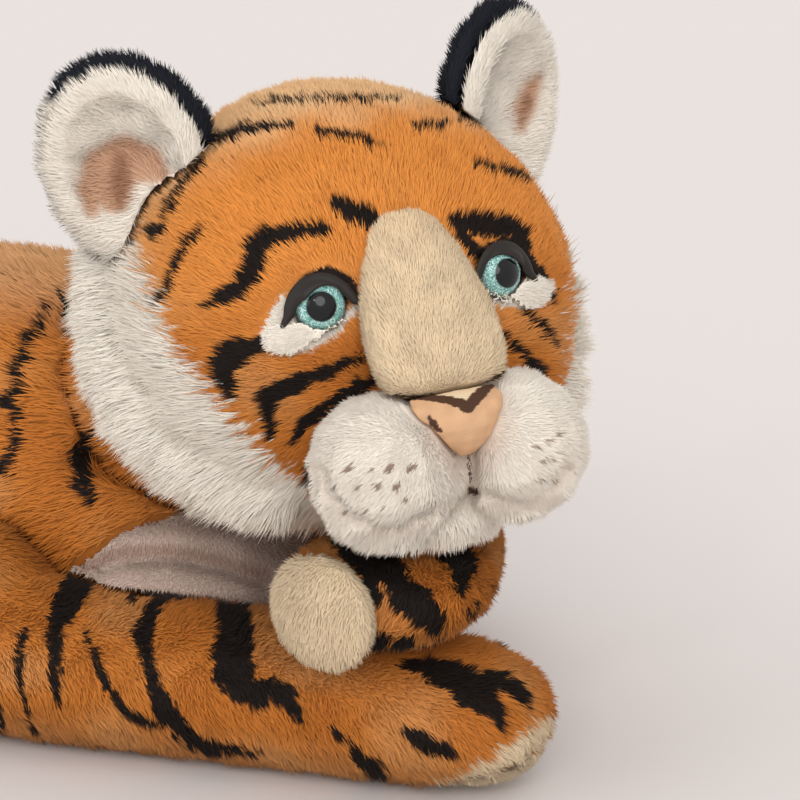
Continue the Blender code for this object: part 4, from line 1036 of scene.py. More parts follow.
@dataclass
class Head:
    """The head with its face, ears and long-haired cheeks."""

    turf: Turf
    yaw: float = math.radians(-38.0)
    roll: float = math.radians(6.0)
    place: tuple[float, float, float] = (0.21278, -0.04509, 0.17496)
    nose_pixel: tuple[float, float] = (466.0, 425.0)
    pieces: list[bpy.types.Object] = field(default_factory=list)

    def __post_init__(self) -> None:
        """Gathers the surfaces of both long-haired cheeks."""
        others = [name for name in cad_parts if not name.startswith("cheek_ruff")]
        self.ruffs = Turf.neighbours(others)

    def on_ruff(self, places: Array) -> Array:
        """How surely each place belongs to a long-haired cheek, from 0 to 1."""
        nearest = self.ruffs.find_nearest
        gaps = np.array([nearest(Vector(place))[3] for place in places.tolist()])
        return smooth_step(-gaps, -0.0085, -0.0045)

    def frame(self) -> Matrix:
        """The head's own frame: X ahead, Y its left, Z up."""
        turn = Matrix.Rotation(self.yaw, 4, "Z") @ Matrix.Rotation(self.roll, 4, "X")
        return Matrix.Translation(self.place) @ turn

    def own(self, places: Array) -> Array:
        """Places in the head's own frame."""
        back = np.array(self.frame().inverted())
        return places @ back[:3, :3].T + back[:3, 3]

    def world(self, directions: Array) -> Array:
        """Directions from the head's own frame in the row's."""
        return directions @ np.array(self.frame().to_3x3()).T

    def mirrored(self, places: Array) -> Array:
        """Each place on the head's other side."""
        turn = np.array(self.frame())
        return (self.own(places) * (1.0, -1.0, 1.0)) @ turn[:3, :3].T + turn[:3, 3]

    def radiate(self, origin: Sequence[float]) -> Field:
        """A lay that spreads from a point in the head's frame."""

        def comb(roots: Array, _normals: Array) -> Array:
            return self.world(unit(self.own(roots) - np.array(origin)))

        return comb

    def face_paint(self, places: Array, normals: Array) -> Array:
        """Orange with the photograph's stripes, lighter up the face as painted light, pale at the crown."""
        own = self.own(places)
        ground = orange_base(places)
        # painted light: the face grows brighter orange towards the top of the head
        ground = mix(ground, Tint.TOP_LIT_ORANGE.rgb, smooth_step(own[:, 2], -0.010, 0.050) * 0.85)
        crown = smooth_step(own[:, 2] - own[:, 0] * 0.9 + 0.005 * waves(places, 0.03, 71), 0.034, 0.078)
        ground = mix(ground, Tint.PALE_TAN.rgb, crown * 0.85)
        temple = smooth_step(-own[:, 0] + np.abs(own[:, 1]) * 0.8, 0.02, 0.075)
        ground = mix(ground, Tint.TAN.rgb, temple * 0.55)
        near = own[:, 1] < 0
        pixels, flipped = VIEW.project(places), self.mirrored(places)
        seen = VIEW.facing(places, normals) > SEEN
        direct = ragged(FACE_STRIPES.depth(pixels) + 1.0, places, 2.4, 0.006, 3)
        far = ragged(FAR_FACE_STRIPES.depth(pixels) + 1.0, places, 2.0, 0.005, 3)
        mirror = ragged(FACE_STRIPES.depth(VIEW.project(flipped)) + 1.0, flipped, 2.4, 0.006, 3)
        share = np.where(near, direct, np.where(seen, np.maximum(far, direct), mirror))
        ground = mix(ground, Tint.STRIPE.rgb, share)
        ground = mix(ground, Tint.WHITE.rgb, self.whiteness(places, normals))
        # dark round the eyes, with painted shade in the seam beside the near eye
        dark = ragged(EYE_DARKS.depth(pixels), places, 0.8, 0.003, 61) * seen
        ground = mix(ground, Tint.STRIPE.rgb, dark)
        white = ragged(EYE_WHITES.depth(pixels), places, 0.8, 0.003, 62) * seen
        ground = mix(ground, Tint.WHITE.rgb, white)
        # painted shadow under the lids and a dark rim round each eye
        return mix(ground, Tint.STRIPE.rgb, smooth_step(EYE_RIMS_AND_LID_SHADOWS.depth(pixels), -1.0, 1.0) * seen)

    def whiteness(self, places: Array, normals: Array) -> Array:
        """Where the face is white, as the long-haired cheeks begin there."""
        own = self.own(places)
        pixels, flipped = VIEW.project(places), self.mirrored(places)
        seen = VIEW.facing(places, normals) > SEEN
        near = ragged(NEAR_WHITE.depth(pixels), places, 9.0, 0.005, 14)
        far = ragged(FAR_WHITE.depth(pixels), places, 7.0, 0.005, 14)
        mirror = ragged(NEAR_WHITE.depth(VIEW.project(flipped)), flipped, 9.0, 0.005, 14)
        back = smooth_step(-own[:, 0], 0.030, 0.050) * (own[:, 2] < 0.045)
        side = np.where(own[:, 1] < 0, near, np.where(seen, far, mirror))
        side = np.where(own[:, 0] < -0.030, np.minimum(side, 1 - back), side)
        return np.maximum(side, self.on_ruff(places))

    def face_length(self, roots: Array, normals: Array) -> Array:
        """Longer where the cheeks are white, and short round the eyes and the bridge."""
        pixels = VIEW.project(roots)
        near = np.maximum(EYE_WHITES.depth(pixels), EYE_DARKS.depth(pixels))
        clipped = smooth_step(near, -9.0, 1.0)
        return (1.0 + 1.35 * self.whiteness(roots, normals)) * (1.0 - 0.60 * clipped)

    def face_comb(self, roots: Array, normals: Array) -> Array:
        """Away from the nose, and down where the cheeks are long-haired."""
        out = self.radiate((0.106, 0.0, -0.021))(roots, normals)
        side = np.sign(self.own(roots)[:, 1])[:, None]
        down = self.world(unit(np.hstack((0 * side - 0.35, 0.55 * side, 0 * side - 0.80))))
        return mix(out, down, 0.55 * self.on_ruff(roots))

    def muzzle_paint(self, places: Array, _normals: Array) -> Array:
        """White with faint freckles where the whiskers would grow."""
        tone = 1 + 0.03 * waves(places, 0.02, 8)
        ground = Tint.WHITE.rgb * tone[:, None]
        pixels = VIEW.project(places)
        # painted shade: peach darkens the fur along the crease where the lobes meet the jaw
        fold = smooth_step(LOBE_EDGE.depth(pixels), -9.0, 1.0)
        ground = mix(ground, Tint.PEACH.rgb, fold * 0.10)
        across, down = (pixels - self.nose_pixel).T
        blush = smooth_step(-np.hypot(across, down * 0.9), -62.0, -20.0)
        ground = mix(ground, Tint.PEACH.rgb, blush * 0.34)
        ground = mix(ground, Tint.FRECKLE.rgb, ragged(FRECKLES.depth(pixels), places, 1.0, 0.002, 9) * 0.8)
        return mix(ground, Tint.SEAM.rgb, ragged(MOUTH.depth(pixels), places, 0.8, 0.002, 10))

    def bridge_paint(self, places: Array, _normals: Array) -> Array:
        """Cream that deepens towards the brow."""
        own = self.own(places)
        ground = np.broadcast_to(Tint.CREAM.rgb, places.shape) * (1 + 0.05 * waves(places, 0.012, 4))[:, None]
        ground = mix(ground, Tint.TAN.rgb, smooth_step(own[:, 2], 0.030, 0.060) * 0.15)
        dark = ragged(NOSE_SHADE.depth(VIEW.project(places)), places, 1.2, 0.002, 53)
        return mix(ground, Tint.SEAM.rgb, dark)

    def build(self) -> None:
        """Makes the head's pieces."""
        add = self.pieces.append
        add(self.turf.cover(FurPiece(
            "face_and_cheeks", ("head", "cheek_ruff_right", "cheek_ruff_left"), "head", "orange_fur",
            SHORT, self.face_comb, self.face_paint, voxel=0.0026, soften=12, skin_shade=0.80,
            length_share=self.face_length,
        )))
        add(self.turf.cover(FurPiece(
            "bridge", ("nose_bridge",), "head", "cream_fur", replace(FINE, length=0.0029, per_mm2=2.6),
            self.radiate((0.100, 0.0, -0.040)), self.bridge_paint, voxel=0.0016, soften=3,
        )))
        add(self.turf.cover(FurPiece(
            "muzzle_and_chin", ("muzzle", "chin"), "head", "white_fur",
            replace(FINE, root_shade=0.91, jitter=0.030),
            self.radiate((0.108, 0.0, -0.014)), self.muzzle_paint, WHITE_PILE, voxel=0.0014, soften=4,
            shape=self.lobes, length_share=self.jaw_length, skin_shade=0.85,
        )))
        for name in ("right", "left"):
            self.ear(name)
            add(self.turf.cover(FurPiece(
                f"under_eye_{name}", (f"eye_patch_{name}",), "head", "white_fur", CLIPPED,
                self.radiate((0.106, 0.0, 0.030)), plain(Tint.WHITE, 0.03), WHITE_PILE,
                voxel=0.0009, soften=1, skin_shade=0.9,
            )))
        add(self.turf.cloth(FurPiece(
            "nose_pad", ("nose",), "head", "nose_cloth", CLIPPED, toward((0.0, 0.0, 1.0)),
            self.nose_paint, NOSE_CLOTH, voxel=0.0006, soften=3, skin_shade=1.0,
        )))

    def lobes(self, places: Array, normals: Array) -> Array:
        """Draws in the crease between the muzzle's lobes and the jaw."""
        depth = LOBE_EDGE.depth(VIEW.project(places))
        seen = smooth_step(VIEW.facing(places, normals), -0.1, 0.3)
        crease = np.exp(-((depth / 6.0) ** 2)) * 0.0034 + np.exp(-((depth / 16.0) ** 2)) * 0.0016
        return places - normals * (crease * seen)[:, None]

    def jaw_length(self, roots: Array, _normals: Array) -> Array:
        """Longer on the jaw, below the lobes, and short where the seam runs."""
        pixels = VIEW.project(roots)
        low = smooth_step(pixels[:, 1], 505.0, 540.0)
        seam = smooth_step(LOBE_EDGE.depth(pixels), -8.0, 0.0)
        return (1.0 + 0.7 * low) * (1.0 - 0.45 * seam)

    def nose_paint(self, places: Array, normals: Array) -> Array:
        """Tan cloth with a dark line along its top edge and dark nostrils."""
        ground = Tint.NOSE.rgb * (1 + 0.06 * waves(places, 0.008, 51))[:, None]
        pixels = VIEW.project(places)
        ground = mix(ground, Tint.CREAM.rgb * 0.80, smooth_step(NOSE_TOP.depth(pixels), -1.0, 1.0))
        dark = ragged(NOSE_SHADE.depth(pixels), places, 0.5, 0.003, 52)
        seen = VIEW.facing(places, normals) > -0.2
        return mix(ground, Tint.SEAM.rgb, dark * seen)

    def ear(self, name: str) -> None:
        """One ear: its white front with a warm hollow, and its dark back.

        Args:
            name: The side's name.
        """
        low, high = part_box(f"ear_front_{name}")
        base = np.array(self.place)
        middle = (np.array(low) + np.array(high)) / 2

        def outward(roots: Array, _normals: Array) -> Array:
            return unit((middle - base)[None]) + unit(roots - middle) * 0.8

        def front_paint(places: Array, normals: Array) -> Array:
            ground = Tint.WHITE.rgb * (1 + 0.03 * waves(places, 0.02, 6))[:, None]
            ground = mix(ground, Tint.PEACH.rgb, hollow(places, normals, EAR_HOLLOWS, 7.0) * 0.85)
            ground = mix(ground, Tint.RUST.rgb, hollow(places, normals, EAR_CORES, 6.0) * 0.60)
            rim = ragged(EAR_RIMS.depth(VIEW.project(places)), places, 1.6, 0.004, 81)
            return mix(ground, Tint.NAVY.rgb, rim)

        def hollow(places: Array, normals: Array, strokes: Strokes, soft: float) -> Array:
            seen = smooth_step(VIEW.facing(places, normals), -0.5, -0.2)
            return smooth_step(strokes.depth(VIEW.project(places)), -soft, soft) * seen

        def scoop(places: Array, normals: Array) -> Array:
            return places - normals * (0.0025 * hollow(places, normals, EAR_HOLLOWS, 14.0))[:, None]

        def hidden(roots: Array, normals: Array) -> Array:
            inside = EAR_HOLLOWS.depth(VIEW.project(roots)) > -16.0
            return inside & (VIEW.facing(roots, normals) < 0.0)

        def back_paint(places: Array, normals: Array) -> Array:
            pixels = VIEW.project(places)
            edge = smooth_step(pixels[:, 1], 94.0, 108.0) * (pixels[:, 0] < 112)
            edge = edge * smooth_step(VIEW.facing(places, normals), -0.55, -0.25)
            return mix(plain(Tint.NAVY)(places, normals), Tint.WHITE.rgb, edge)

        self.pieces.append(self.turf.cover(FurPiece(
            f"ear_lining_{name}", (f"ear_front_{name}",), f"ear_{name}", "white_fur",
            replace(FINE, length=0.0050, per_mm2=1.7, root_shade=0.90, jitter=0.025), outward, front_paint,
            WHITE_PILE, voxel=0.0018, soften=4, skin_shade=0.90, shape=scoop, bare=hidden,
        )))
        self.pieces.append(self.turf.cover(FurPiece(
            f"ear_backing_{name}", (f"ear_back_{name}",), f"ear_{name}", "dark_fur", RIM,
            outward, back_paint, DARK_PILE, voxel=0.0018, soften=3, room=0.002,
        )))


@dataclass
class Trunk:
    """The body, the fold of its chest, its neck and its belly panel."""

    turf: Turf
    pieces: list[bpy.types.Object] = field(default_factory=list)

    def flank_paint(self, places: Array, normals: Array) -> Array:
        """Orange with stripes, paler along the spine and low on the sides."""
        ground = orange_base(places)
        spine = smooth_step(places[:, 2], 0.150, 0.180)
        ground = mix(ground, Tint.PALE_TAN.rgb, spine * 0.5)
        low = smooth_step(-places[:, 2], -0.050, -0.012)
        ground = mix(ground, Tint.TAN.rgb, low * 0.5)
        around = np.abs(np.arctan2(places[:, 1], places[:, 2] - 0.080)) * 0.090
        unrolled = np.stack((places[:, 0], around), axis=1)
        wrap = Wrap(-0.300, 0.120, 0.030, 0.0115, 0.215, 6).strokes()
        rings = ragged(wrap.depth(unrolled), places, 0.0016, 0.010, 21)
        direct = ragged(FLANK_STRIPES.depth(VIEW.project(places)), places, 2.4, 0.008, 22)
        return mix(ground, Tint.STRIPE.rgb, np.where(VIEW.shows(places, normals), direct, rings))

    @staticmethod
    def chest_paint(places: Array, normals: Array) -> Array:
        """Pale, with painted shade in the crease between its two folds."""
        ground = plain(Tint.CHEST, 0.08)(places, normals)
        # painted shade: rust brown darkens the crease
        crease = smooth_step(CHEST_CREASE.depth(VIEW.project(places)), -9.0, 0.0)
        return mix(ground, Tint.RUST.rgb, crease * 0.40)

    @staticmethod
    def fold(places: Array, normals: Array) -> Array:
        """Draws in the crease between the chest's two folds."""
        depth = CHEST_CREASE.depth(VIEW.project(places))
        seen = smooth_step(VIEW.facing(places, normals), -0.1, 0.3)
        return places - normals * (np.exp(-((depth / 11.0) ** 2)) * 0.006 * seen)[:, None]

    def build(self) -> None:
        """Makes the trunk's pieces."""
        add = self.pieces.append
        add(self.turf.cover(FurPiece(
            "flanks", ("torso",), "body", "orange_fur", BODY, toward((-1.0, 0.0, -0.35)),
            self.flank_paint, voxel=0.0045, soften=6,
        )))
        add(self.turf.cover(FurPiece(
            "belly", ("belly_panel",), "body", "white_fur", replace(FINE, length=0.003, inset=0.0005),
            toward((-1.0, 0.0, 0.0)), plain(Tint.WHITE), WHITE_PILE, voxel=0.003, soften=1,
        )))
        add(self.turf.cover(FurPiece(
            "chest_fold", ("chest_roll",), "body", "pale_fur", replace(CLIPPED, per_mm2=1.5, jitter=0.03),
            toward((0.2, -0.2, -1.0)), self.chest_paint, WHITE_PILE, voxel=0.003, soften=6, shape=self.fold,
        )))
        add(self.turf.cover(FurPiece(
            "collar", ("neck",), "neck", "orange_fur", replace(BODY, length=0.012),
            toward((-1.0, 0.3, -0.2)), self.flank_paint, voxel=0.0035, soften=3, room=0.001,
        )))


@dataclass
class Legs:
    """The four legs."""

    turf: Turf
    pieces: list[bpy.types.Object] = field(default_factory=list)

    @staticmethod
    def striped(direct: Strokes, wrap: Wrap, origin: Sequence[float], way: Sequence[float]) -> Field:
        """A leg's colours: stripes as photographed where it is seen, and rings elsewhere.

        Args:
            direct: Strokes in the photograph's pixels.
            wrap: Rings round the leg.
            origin: A point on the leg's axis.
            way: The way that the axis runs.

        Returns:
            A function from places and normals to colours.
        """
        start = np.array(origin, float)
        along = np.array(way, float) / np.linalg.norm(way)
        side = np.cross((0.0, 0.0, 1.0), along)
        rings = wrap.strokes()

        def paint(places: Array, normals: Array) -> Array:
            ground = orange_base(places)
            low = smooth_step(-places[:, 2], -0.030, -0.004)
            ground = mix(ground, Tint.TAN.rgb, low * 0.45)
            rel = places - start
            around = np.abs(np.arctan2(rel @ side, rel[:, 2])) * 0.040
            unrolled = np.stack((rel @ along, around), axis=1)
            share = ragged(rings.depth(unrolled), places, 0.0013, 0.008, 31)
            if len(direct.starts):
                pixels, seen = VIEW.project(places), VIEW.shows(places, normals)
                shown = ragged(direct.depth(pixels), places, 2.4, 0.007, 32)
                share = np.where(seen, shown, share)
                edge = ragged(PAW_CREAM.depth(pixels), places, 3.0, 0.006, 33)
                ground = mix(ground, Tint.CREAM.rgb, edge * seen)
            return mix(ground, Tint.STRIPE.rgb, share)

        return paint

    def build(self) -> None:
        """Makes the legs' pieces."""
        none = Strokes()
        ahead = (0.980, 0.198, 0.0)
        straight = (0.0602, -0.10507, 0.040)
        ring = Wrap(-0.040, 0.300, 0.026, 0.011, 0.120, 3)
        near = self.striped(LEG_STRIPES + PAW_STRIPES, ring, straight, ahead)
        down = toward((0.75, 0.0, -0.55))
        cream = plain(Tint.CREAM)
        leg_pile = replace(SHORT, length=0.0058, per_mm2=1.1, girth=0.00080)
        self.add("stretched_leg", ("foreleg_right", "forepaw_right"), "foreleg_right", leg_pile, down, near)
        self.add("stretched_sole", ("forepaw_sole_right",), "foreleg_right", FINE, down, cream, "cream_fur")
        bent = self.striped(none, Wrap(-0.04, 0.2, 0.024, 0.011, 0.12, 8), (0.0602, 0.10507, 0.04), (1, 0, 0))
        elbow = Wrap(-0.3, 0.3, 0.024, 0.012, 0.12, 9)
        folded = self.striped(BENT_STRIPES, elbow, (0.25, 0.0, 0.07), (0, -1, 0))
        self.add("bent_upper_leg", ("foreleg_left",), "foreleg_left", leg_pile, down, bent)
        self.add(
            "bent_forearm", ("forearm_left", "forepaw_left"), "forearm_left", leg_pile,
            toward((0.25, -0.9, -0.3)), folded,
        )
        self.add(
            "bent_pad", ("forepaw_pad_left",), "forearm_left", FINE, toward((0.2, -0.3, -1.0)), cream,
            "cream_fur",
        )
        for side, name in ((-1, "right"), (1, "left")):
            hip = (-0.185, 0.080 * side, 0.060)
            paint = self.striped(none, Wrap(-0.07, 0.2, 0.026, 0.012, 0.16, 12 + side), hip, (1, 0, 0))
            sweep = toward((0.5, 0.1 * side, -0.8))
            body = f"hind_leg_{name}"
            self.add(f"haunch_{name}", (f"thigh_{name}",), body, BODY, sweep, paint)
            self.add(f"shank_{name}", (f"hind_leg_{name}",), body, replace(SHORT, per_mm2=0.8), down, paint)
            self.add(
                f"hind_foot_sole_{name}", (f"hind_sole_{name}",), body, replace(FINE, per_mm2=1.4), down,
                cream, "cream_fur",
            )

    def add(
        self,
        name: str,
        nodes: tuple[str, ...],
        body: str,
        pile: Pile,
        comb: Field,
        paint: Field,
        slot: str = "orange_fur",
    ) -> None:
        """Makes one piece of a leg."""
        finish = ORANGE_PILE if slot == "orange_fur" else WHITE_PILE
        self.pieces.append(self.turf.cover(FurPiece(
            name, nodes, body, slot, pile, comb, paint, finish, voxel=0.0032, soften=4,
        )))


@dataclass
class Tail:
    """The tail and its dark tip."""

    turf: Turf
    pieces: list[bpy.types.Object] = field(default_factory=list)

    def build(self) -> None:
        """Makes the tail's pieces."""
        rings = Wrap(-0.120, 0.250, 0.028, 0.013, 0.060, 40).strokes()

        def lengthwise(places: Array) -> Array:
            back = np.clip(-0.2752 - places[:, 0], 0.0, 0.090)
            return back + np.maximum(places[:, 1], 0.0)

        def comb(roots: Array, _normals: Array) -> Array:
            turned = smooth_step(roots[:, 1], 0.0, 0.045)
            return mix(np.broadcast_to((-1.0, 0.0, 0.0), roots.shape), np.array((0.1, 1.0, 0.0)), turned)

        def paint(places: Array, _normals: Array) -> Array:
            unrolled = np.stack((lengthwise(places), np.full(len(places), 0.030)), axis=1)
            share = ragged(rings.depth(unrolled), places, 0.0015, 0.010, 41)
            return mix(orange_base(places), Tint.STRIPE.rgb, share)

        for name, node, slot, tint in (
            ("tail_coat", "tail", "orange_fur", paint),
            ("tail_tuft", "tail_tip", "dark_fur", plain(Tint.STRIPE)),
        ):
            self.pieces.append(self.turf.cover(FurPiece(
                name, (node,), "tail", slot, BODY, comb, tint, voxel=0.003, soften=4,
            )))


@dataclass(frozen=True)
class Grained:
    """Moulded plastic or plain cloth with a faint grain."""

    name: str
    colour: Rgb
    roughness: float
    grain: float = 0.12
    gloss: float = 0.5

    def material(self) -> bpy.types.Material:
        """The finish as a material, made once."""
        found = bpy.data.materials.get(self.name)
        if found is not None:
            return found
        made, graph, shader = fresh_material(self.name, {"Specular IOR Level": self.gloss})
        low, high = (tuple(value * (1 + way * self.grain) for value in self.colour) for way in (-1, 1))
        where = graph.add("ShaderNodeTexCoord")
        grain = graph.add("ShaderNodeTexNoise", {"Scale": 900.0, "Detail": 4.0})
        tone = graph.add("ShaderNodeMix", {"A": (*low, 1.0), "B": (*high, 1.0)}, data_type="RGBA")
        rough = graph.add(
            "ShaderNodeMapRange", {"To Min": self.roughness * 0.85, "To Max": self.roughness * 1.2}
        )
        bump = graph.add("ShaderNodeBump", {"Strength": 0.15, "Distance": 0.0002})
        graph.join(
            (where, "Object", grain, "Vector"),
            (grain, "Fac", tone, "Factor"),
            (grain, "Fac", rough, "Value"),
            (grain, "Fac", bump, "Height"),
            (tone, "Result", shader, "Base Color"),
            (rough, "Result", shader, "Roughness"),
            (bump, "Normal", shader, "Normal"),
        )
        return made


@dataclass(frozen=True)
class Iris:
    """A safety eye: black pupil, a ring of aqua glitter and a black rim under clear plastic."""

    name: str
    centre: tuple[float, float, float]
    axis: tuple[float, float, float]
    radius: float
    top: tuple[float, float, float]
    pupil: float = 0.54
    rim: float = 0.90

    @classmethod
    def of(cls, name: str, ob: bpy.types.Object, behind: Sequence[float]) -> Iris:
        """Reads where an eye looks from its own mesh, which is round about its axis.

        Args:
            name: The material's name.
            ob: The eye.
            behind: A point behind the eye, inside the head.

        Returns:
            The finish for that eye.
        """
        places = Turf.places(ob.data)
        middle = places.mean(axis=0)
        values, ways = np.linalg.eigh(np.cov((places - middle).T))
        odd = 0 if values[1] - values[0] > values[2] - values[1] else 2
        axis = ways[:, odd]
        axis = axis if axis @ (middle - np.array(behind)) > 0 else -axis
        out = np.linalg.norm(np.cross(places - middle, axis), axis=1)
        top = middle + axis * float(((places - middle) @ axis).max())
        return cls(name, tuple(middle.tolist()), tuple(axis.tolist()), float(out.max()), tuple(top.tolist()))

    def material(self) -> bpy.types.Material:
        """The finish as a material."""
        made, graph, shader = fresh_material(self.name, {
            "Coat Weight": 0.40,
            "Coat Roughness": 0.02,
            "Specular IOR Level": 0.12,
        })
        where = graph.add("ShaderNodeTexCoord")
        centred = graph.add(
            "ShaderNodeMapping", {"Location": [-value for value in self.centre]}, vector_type="POINT"
        )
        across = graph.add("ShaderNodeVectorMath", {1: self.axis}, operation="CROSS_PRODUCT")
        gap = graph.add("ShaderNodeVectorMath", operation="LENGTH")
        share = graph.add("ShaderNodeMath", {1: self.radius}, operation="DIVIDE")
        flakes = graph.add("ShaderNodeTexVoronoi", {"Scale": 2400.0})
        glint = graph.add("ShaderNodeSeparateColor")
        glitter = graph.add("ShaderNodeValToRGB")
        flecks = glitter.color_ramp.elements
        flecks[0].color = (0.060, 0.230, 0.215, 1.0)
        flecks[1].color = (0.760, 0.960, 0.930, 1.0)
        flecks.new(0.62).color = (0.290, 0.600, 0.560, 1.0)
        ring = graph.add("ShaderNodeValToRGB")
        stops = ring.color_ramp.elements
        stops[0].position, stops[0].color = self.pupil - 0.02, (0.0, 0.0, 0.0, 1.0)
        stops[1].position, stops[1].color = self.rim + 0.02, (0.0, 0.0, 0.0, 1.0)
        for place, level in ((self.pupil + 0.03, 0.75), (0.70, 1.0), (self.rim - 0.06, 0.7)):
            stops.new(place).color = (level, level, level, 1.0)
        shown = graph.add("ShaderNodeMix", {"A": (0.006, 0.007, 0.008, 1.0)}, data_type="RGBA")
        rough = graph.add("ShaderNodeMapRange", {"To Min": 0.10, "To Max": 0.30})
        graph.join(
            (where, "Object", centred, "Vector"),
            (where, "Object", flakes, "Vector"),
            (centred, "Vector", across, 0),
            (across, "Vector", gap, 0),
            (gap, "Value", share, 0),
            (share, "Value", ring, "Fac"),
            (flakes, "Color", glint, "Color"),
            (glint, "Red", glitter, "Fac"),
            (ring, "Color", shown, "Factor"),
            (glitter, "Color", shown, "B"),
            (shown, "Result", shader, "Base Color"),
            (glint, "Green", rough, "Value"),
            (rough, "Result", shader, "Roughness"),
        )
        return made


@dataclass(frozen=True)
class Lid:
    """A moulded lid, a thin hood over the upper part of the eye.

    Each station is an angle in degrees round the eye from its inner side, then the lid's inner and
    outer edge as shares of the eye's radius. Other sizes are in metres.
    """

    stations: tuple[tuple[float, float, float], ...] = (
        (203.0, 1.55, 1.62), (190.0, 1.00, 1.34), (166.0, 0.74, 1.24), (140.0, 0.58, 1.18),
        (115.0, 0.60, 1.16), (90.0, 0.68, 1.16), (65.0, 0.76, 1.16), (40.0, 0.86, 1.17),
        (18.0, 0.95, 1.24), (2.0, 1.10, 1.38), (-8.0, 1.62, 1.70),
    )
    dome: float = 0.0070
    clear: float = 0.0006
    seat: float = 0.0026
    bulge: float = 0.0013
    thickness: float = 0.0011
    round_steps: int = 30
    cross_steps: int = 6

    def build(self, name: str, eye: Iris, side: int, up: Sequence[float]) -> bpy.types.Object:
        """Makes one lid.

        Args:
            name: The piece's name.
            eye: The eye that it covers.
            side: -1 for the tiger's right and 1 for its left.
            up: The head's upward direction.

        Returns:
            The lid, which stands for its CAD node.
        """
        ahead = np.array(eye.axis)
        rise = unit((np.array(up) - ahead * (ahead @ np.array(up)))[None])[0]
        across = np.cross(rise, ahead) * -side
        base = np.array(eye.top) - ahead * self.dome
        ball = (eye.radius**2 + self.dome**2) / (2 * self.dome)
        angles, inner, outer = (np.array(row) for row in zip(*self.stations))
        bm = bmesh.new()
        bmesh.ops.create_grid(bm, x_segments=self.round_steps, y_segments=self.cross_steps, size=0.5)
        for vert in bm.verts:
            place = (vert.co.x + 0.5) * (len(angles) - 1)
            share = vert.co.y + 0.5
            angle = math.radians(float(np.interp(place, range(len(angles)), angles)))
            low = float(np.interp(place, range(len(angles)), inner))
            high = float(np.interp(place, range(len(angles)), outer))
            reach = (low + (high - low) * share) * eye.radius
            height = math.sqrt(max(ball**2 - reach**2, 0.0)) - (ball - self.dome) if reach < ball else 0.0
            bulge = self.bulge * math.sin(math.pi * share) * (high - low) * 2
            lift = max(height + self.clear, self.seat) + bulge
            spot = base + ahead * lift + (across * math.cos(angle) + rise * math.sin(angle)) * reach
            vert.co = spot.tolist()
        bmesh.ops.recalc_face_normals(bm, faces=bm.faces)
        outward = sum((face.normal for face in bm.faces), Vector()).dot(Vector(ahead.tolist()))
        if outward < 0:
            bmesh.ops.reverse_faces(bm, faces=bm.faces)
        bmesh.ops.solidify(bm, geom=bm.faces[:], thickness=-self.thickness)
        bmesh.ops.recalc_face_normals(bm, faces=bm.faces)
        mesh = mesh_of(bm, name)
        mesh.shade_smooth()
        mesh.materials.append(LID.material())
        ob = Turf.linked(name, mesh)
        soft = ob.modifiers.new("soft", "SUBSURF")
        soft.levels = soft.render_levels = 1
        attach(ob, "head")
        return ob


LID = Grained("lid_satin", (0.020, 0.016, 0.014), 0.50, gloss=0.22)
WASHER = Grained("washer_matt", (0.75, 0.75, 0.74), 0.4, grain=0.03)
LINEN = Grained("bag_weave", (0.60, 0.57, 0.52), 0.9)


@dataclass
class Eyes:
    """The moulded eyes with their lids and washers, and the bag of pellets."""

    head: Head
    pieces: list[bpy.types.Object] = field(default_factory=list)

    def keep(self, ob: bpy.types.Object) -> None:
        """Lists and reports a finished piece."""
        self.pieces.append(ob)
        LOG.info("%s: %d faces", ob.name, len(ob.data.polygons))

    def build(self) -> None:
        """Makes the eyes and lids, and dresses the CAD nodes that stay as they are."""
        for name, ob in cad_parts.items():
            if name in ("eye_right", "eye_left"):
                eye = Iris.of(f"{name}_glass", ob, self.head.place)
                self.keep(self.polished(name, ob, eye.material()))
                side = -1 if name.endswith("right") else 1
                up = self.head.world(np.array([(0.0, 0.0, 1.0)]))[0]
                lid = Lid().build(name.replace("eye", "hood"), eye, side, up)
                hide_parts(name.replace("eye", "eyelid"))
                self.keep(lid)
            elif "washer" in name:
                self.keep(self.dress(ob, WASHER.material()))
            elif name == "pellet_bag":
                self.keep(self.dress(ob, LINEN.material()))

    @staticmethod
    def polished(
        name: str, ob: bpy.types.Object, finish: bpy.types.Material
    ) -> bpy.types.Object:
        """Makes an eye with a smooth dome from its CAD node.

        Args:
            name: The node's name.
            ob: The node's object.
            finish: Its material.

        Returns:
            The eye, which stands for its CAD node.
        """
        bm = bmesh.new()
        bm.from_mesh(ob.data)
        bmesh.ops.remove_doubles(bm, verts=bm.verts, dist=WELD)
        bmesh.ops.recalc_face_normals(bm, faces=bm.faces)
        mesh = mesh_of(bm, f"{name}_glass")
        mesh.shade_smooth()
        mesh.set_sharp_from_angle(angle=math.radians(38.0))
        mesh.materials.append(finish)
        glass = Turf.linked(f"{name}_glass", mesh)
        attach(glass, "head")
        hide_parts(name)
        return glass

    @staticmethod
    def dress(ob: bpy.types.Object, finish: bpy.types.Material) -> bpy.types.Object:
        """Gives a CAD node its finish."""
        ob.data.materials.clear()
        ob.data.materials.append(finish)
        return ob


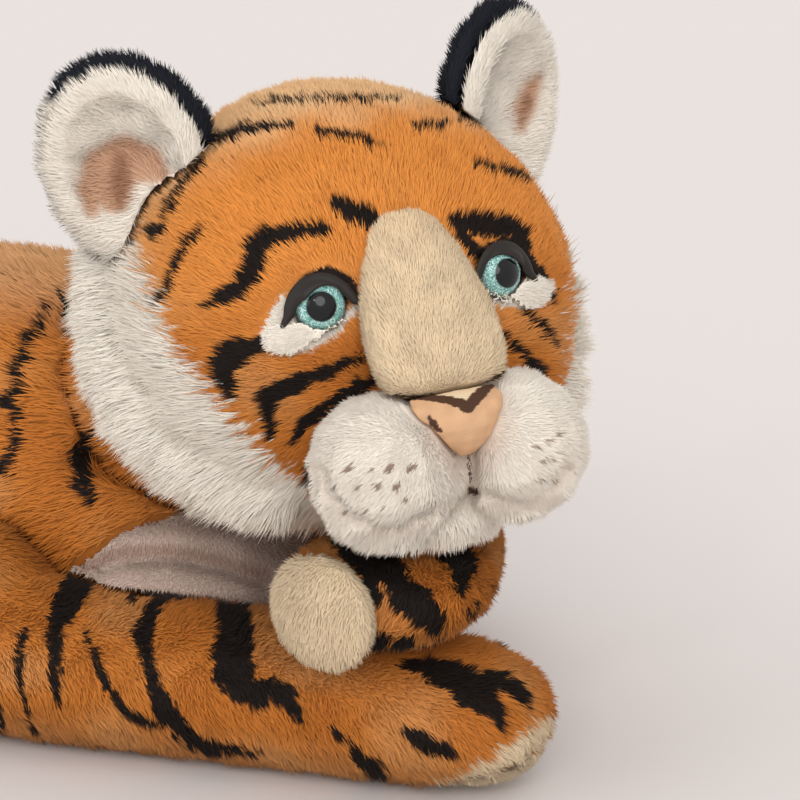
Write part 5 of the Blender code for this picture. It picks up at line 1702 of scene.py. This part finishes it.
@dataclass(frozen=True)
class Studio:
    """A plain pale floor and soft light."""

    floor_colour: Rgb = (0.742, 0.703, 0.688)
    reach: float = 14.0

    def build(self) -> None:
        """Makes the floor, the world and the lamps."""
        bm = bmesh.new()
        bmesh.ops.create_grid(bm, x_segments=1, y_segments=1, size=self.reach)
        mesh = mesh_of(bm, "floor")
        floor = Turf.linked("floor", mesh)
        floor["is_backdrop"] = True
        paint, _, _ = fresh_material(
            "floor_paper", {"Base Color": (*self.floor_colour, 1.0), "Roughness": 0.9}
        )
        mesh.materials.append(paint)
        world = bpy.data.worlds.new("studio")
        world.use_nodes = True
        sky = world.node_tree.nodes["Background"]
        sky.inputs["Color"].default_value = (0.95, 0.915, 0.89, 1.0)
        sky.inputs["Strength"].default_value = 0.88
        bpy.context.scene.world = world
        self.lamp("key", (1.15, -1.50, 0.85), 0.70, 1.50)
        self.lamp("fill", (-0.95, -1.80, 0.60), 0.66, 0.45)
        self.lamp("glint", (0.27, -1.50, 0.80), 0.10, 0.16)

    @staticmethod
    def lamp(name: str, source: Sequence[float], spread: float, power: float) -> None:
        """One soft, distant lamp.

        Args:
            name: The lamp's name.
            source: The way to it from the toy.
            spread: How wide it looks, in radians.
            power: Its strength in watts a square metre.
        """
        light = bpy.data.lights.new(name, "SUN")
        light.angle = spread
        light.energy = power
        holder = bpy.data.objects.new(name, light)
        bpy.context.scene.collection.objects.link(holder)
        holder.location = source
        holder.rotation_mode = "QUATERNION"
        holder.rotation_quaternion = (-Vector(source)).to_track_quat("-Z", "Y")


def main() -> None:
    """Builds the toy's classes in order, then the view and the studio."""
    logging.basicConfig(level=logging.INFO, format="%(message)s")
    turf = Turf()
    head = Head(turf)
    for part in (head, Trunk(turf), Legs(turf), Tail(turf), Eyes(head)):
        part.build()
        LOG.info("built %s: %d pieces", type(part).__name__, len(part.pieces))
    bpy.data.objects.remove(turf.blade)
    VIEW.build()
    Studio().build()
    bpy.context.scene.view_settings.view_transform = "Standard"
    faces = sum(len(ob.data.polygons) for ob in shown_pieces() if ob.type == "MESH")
    LOG.info("%d faces in all the pieces", faces)


if __name__ == "__main__":
    main()
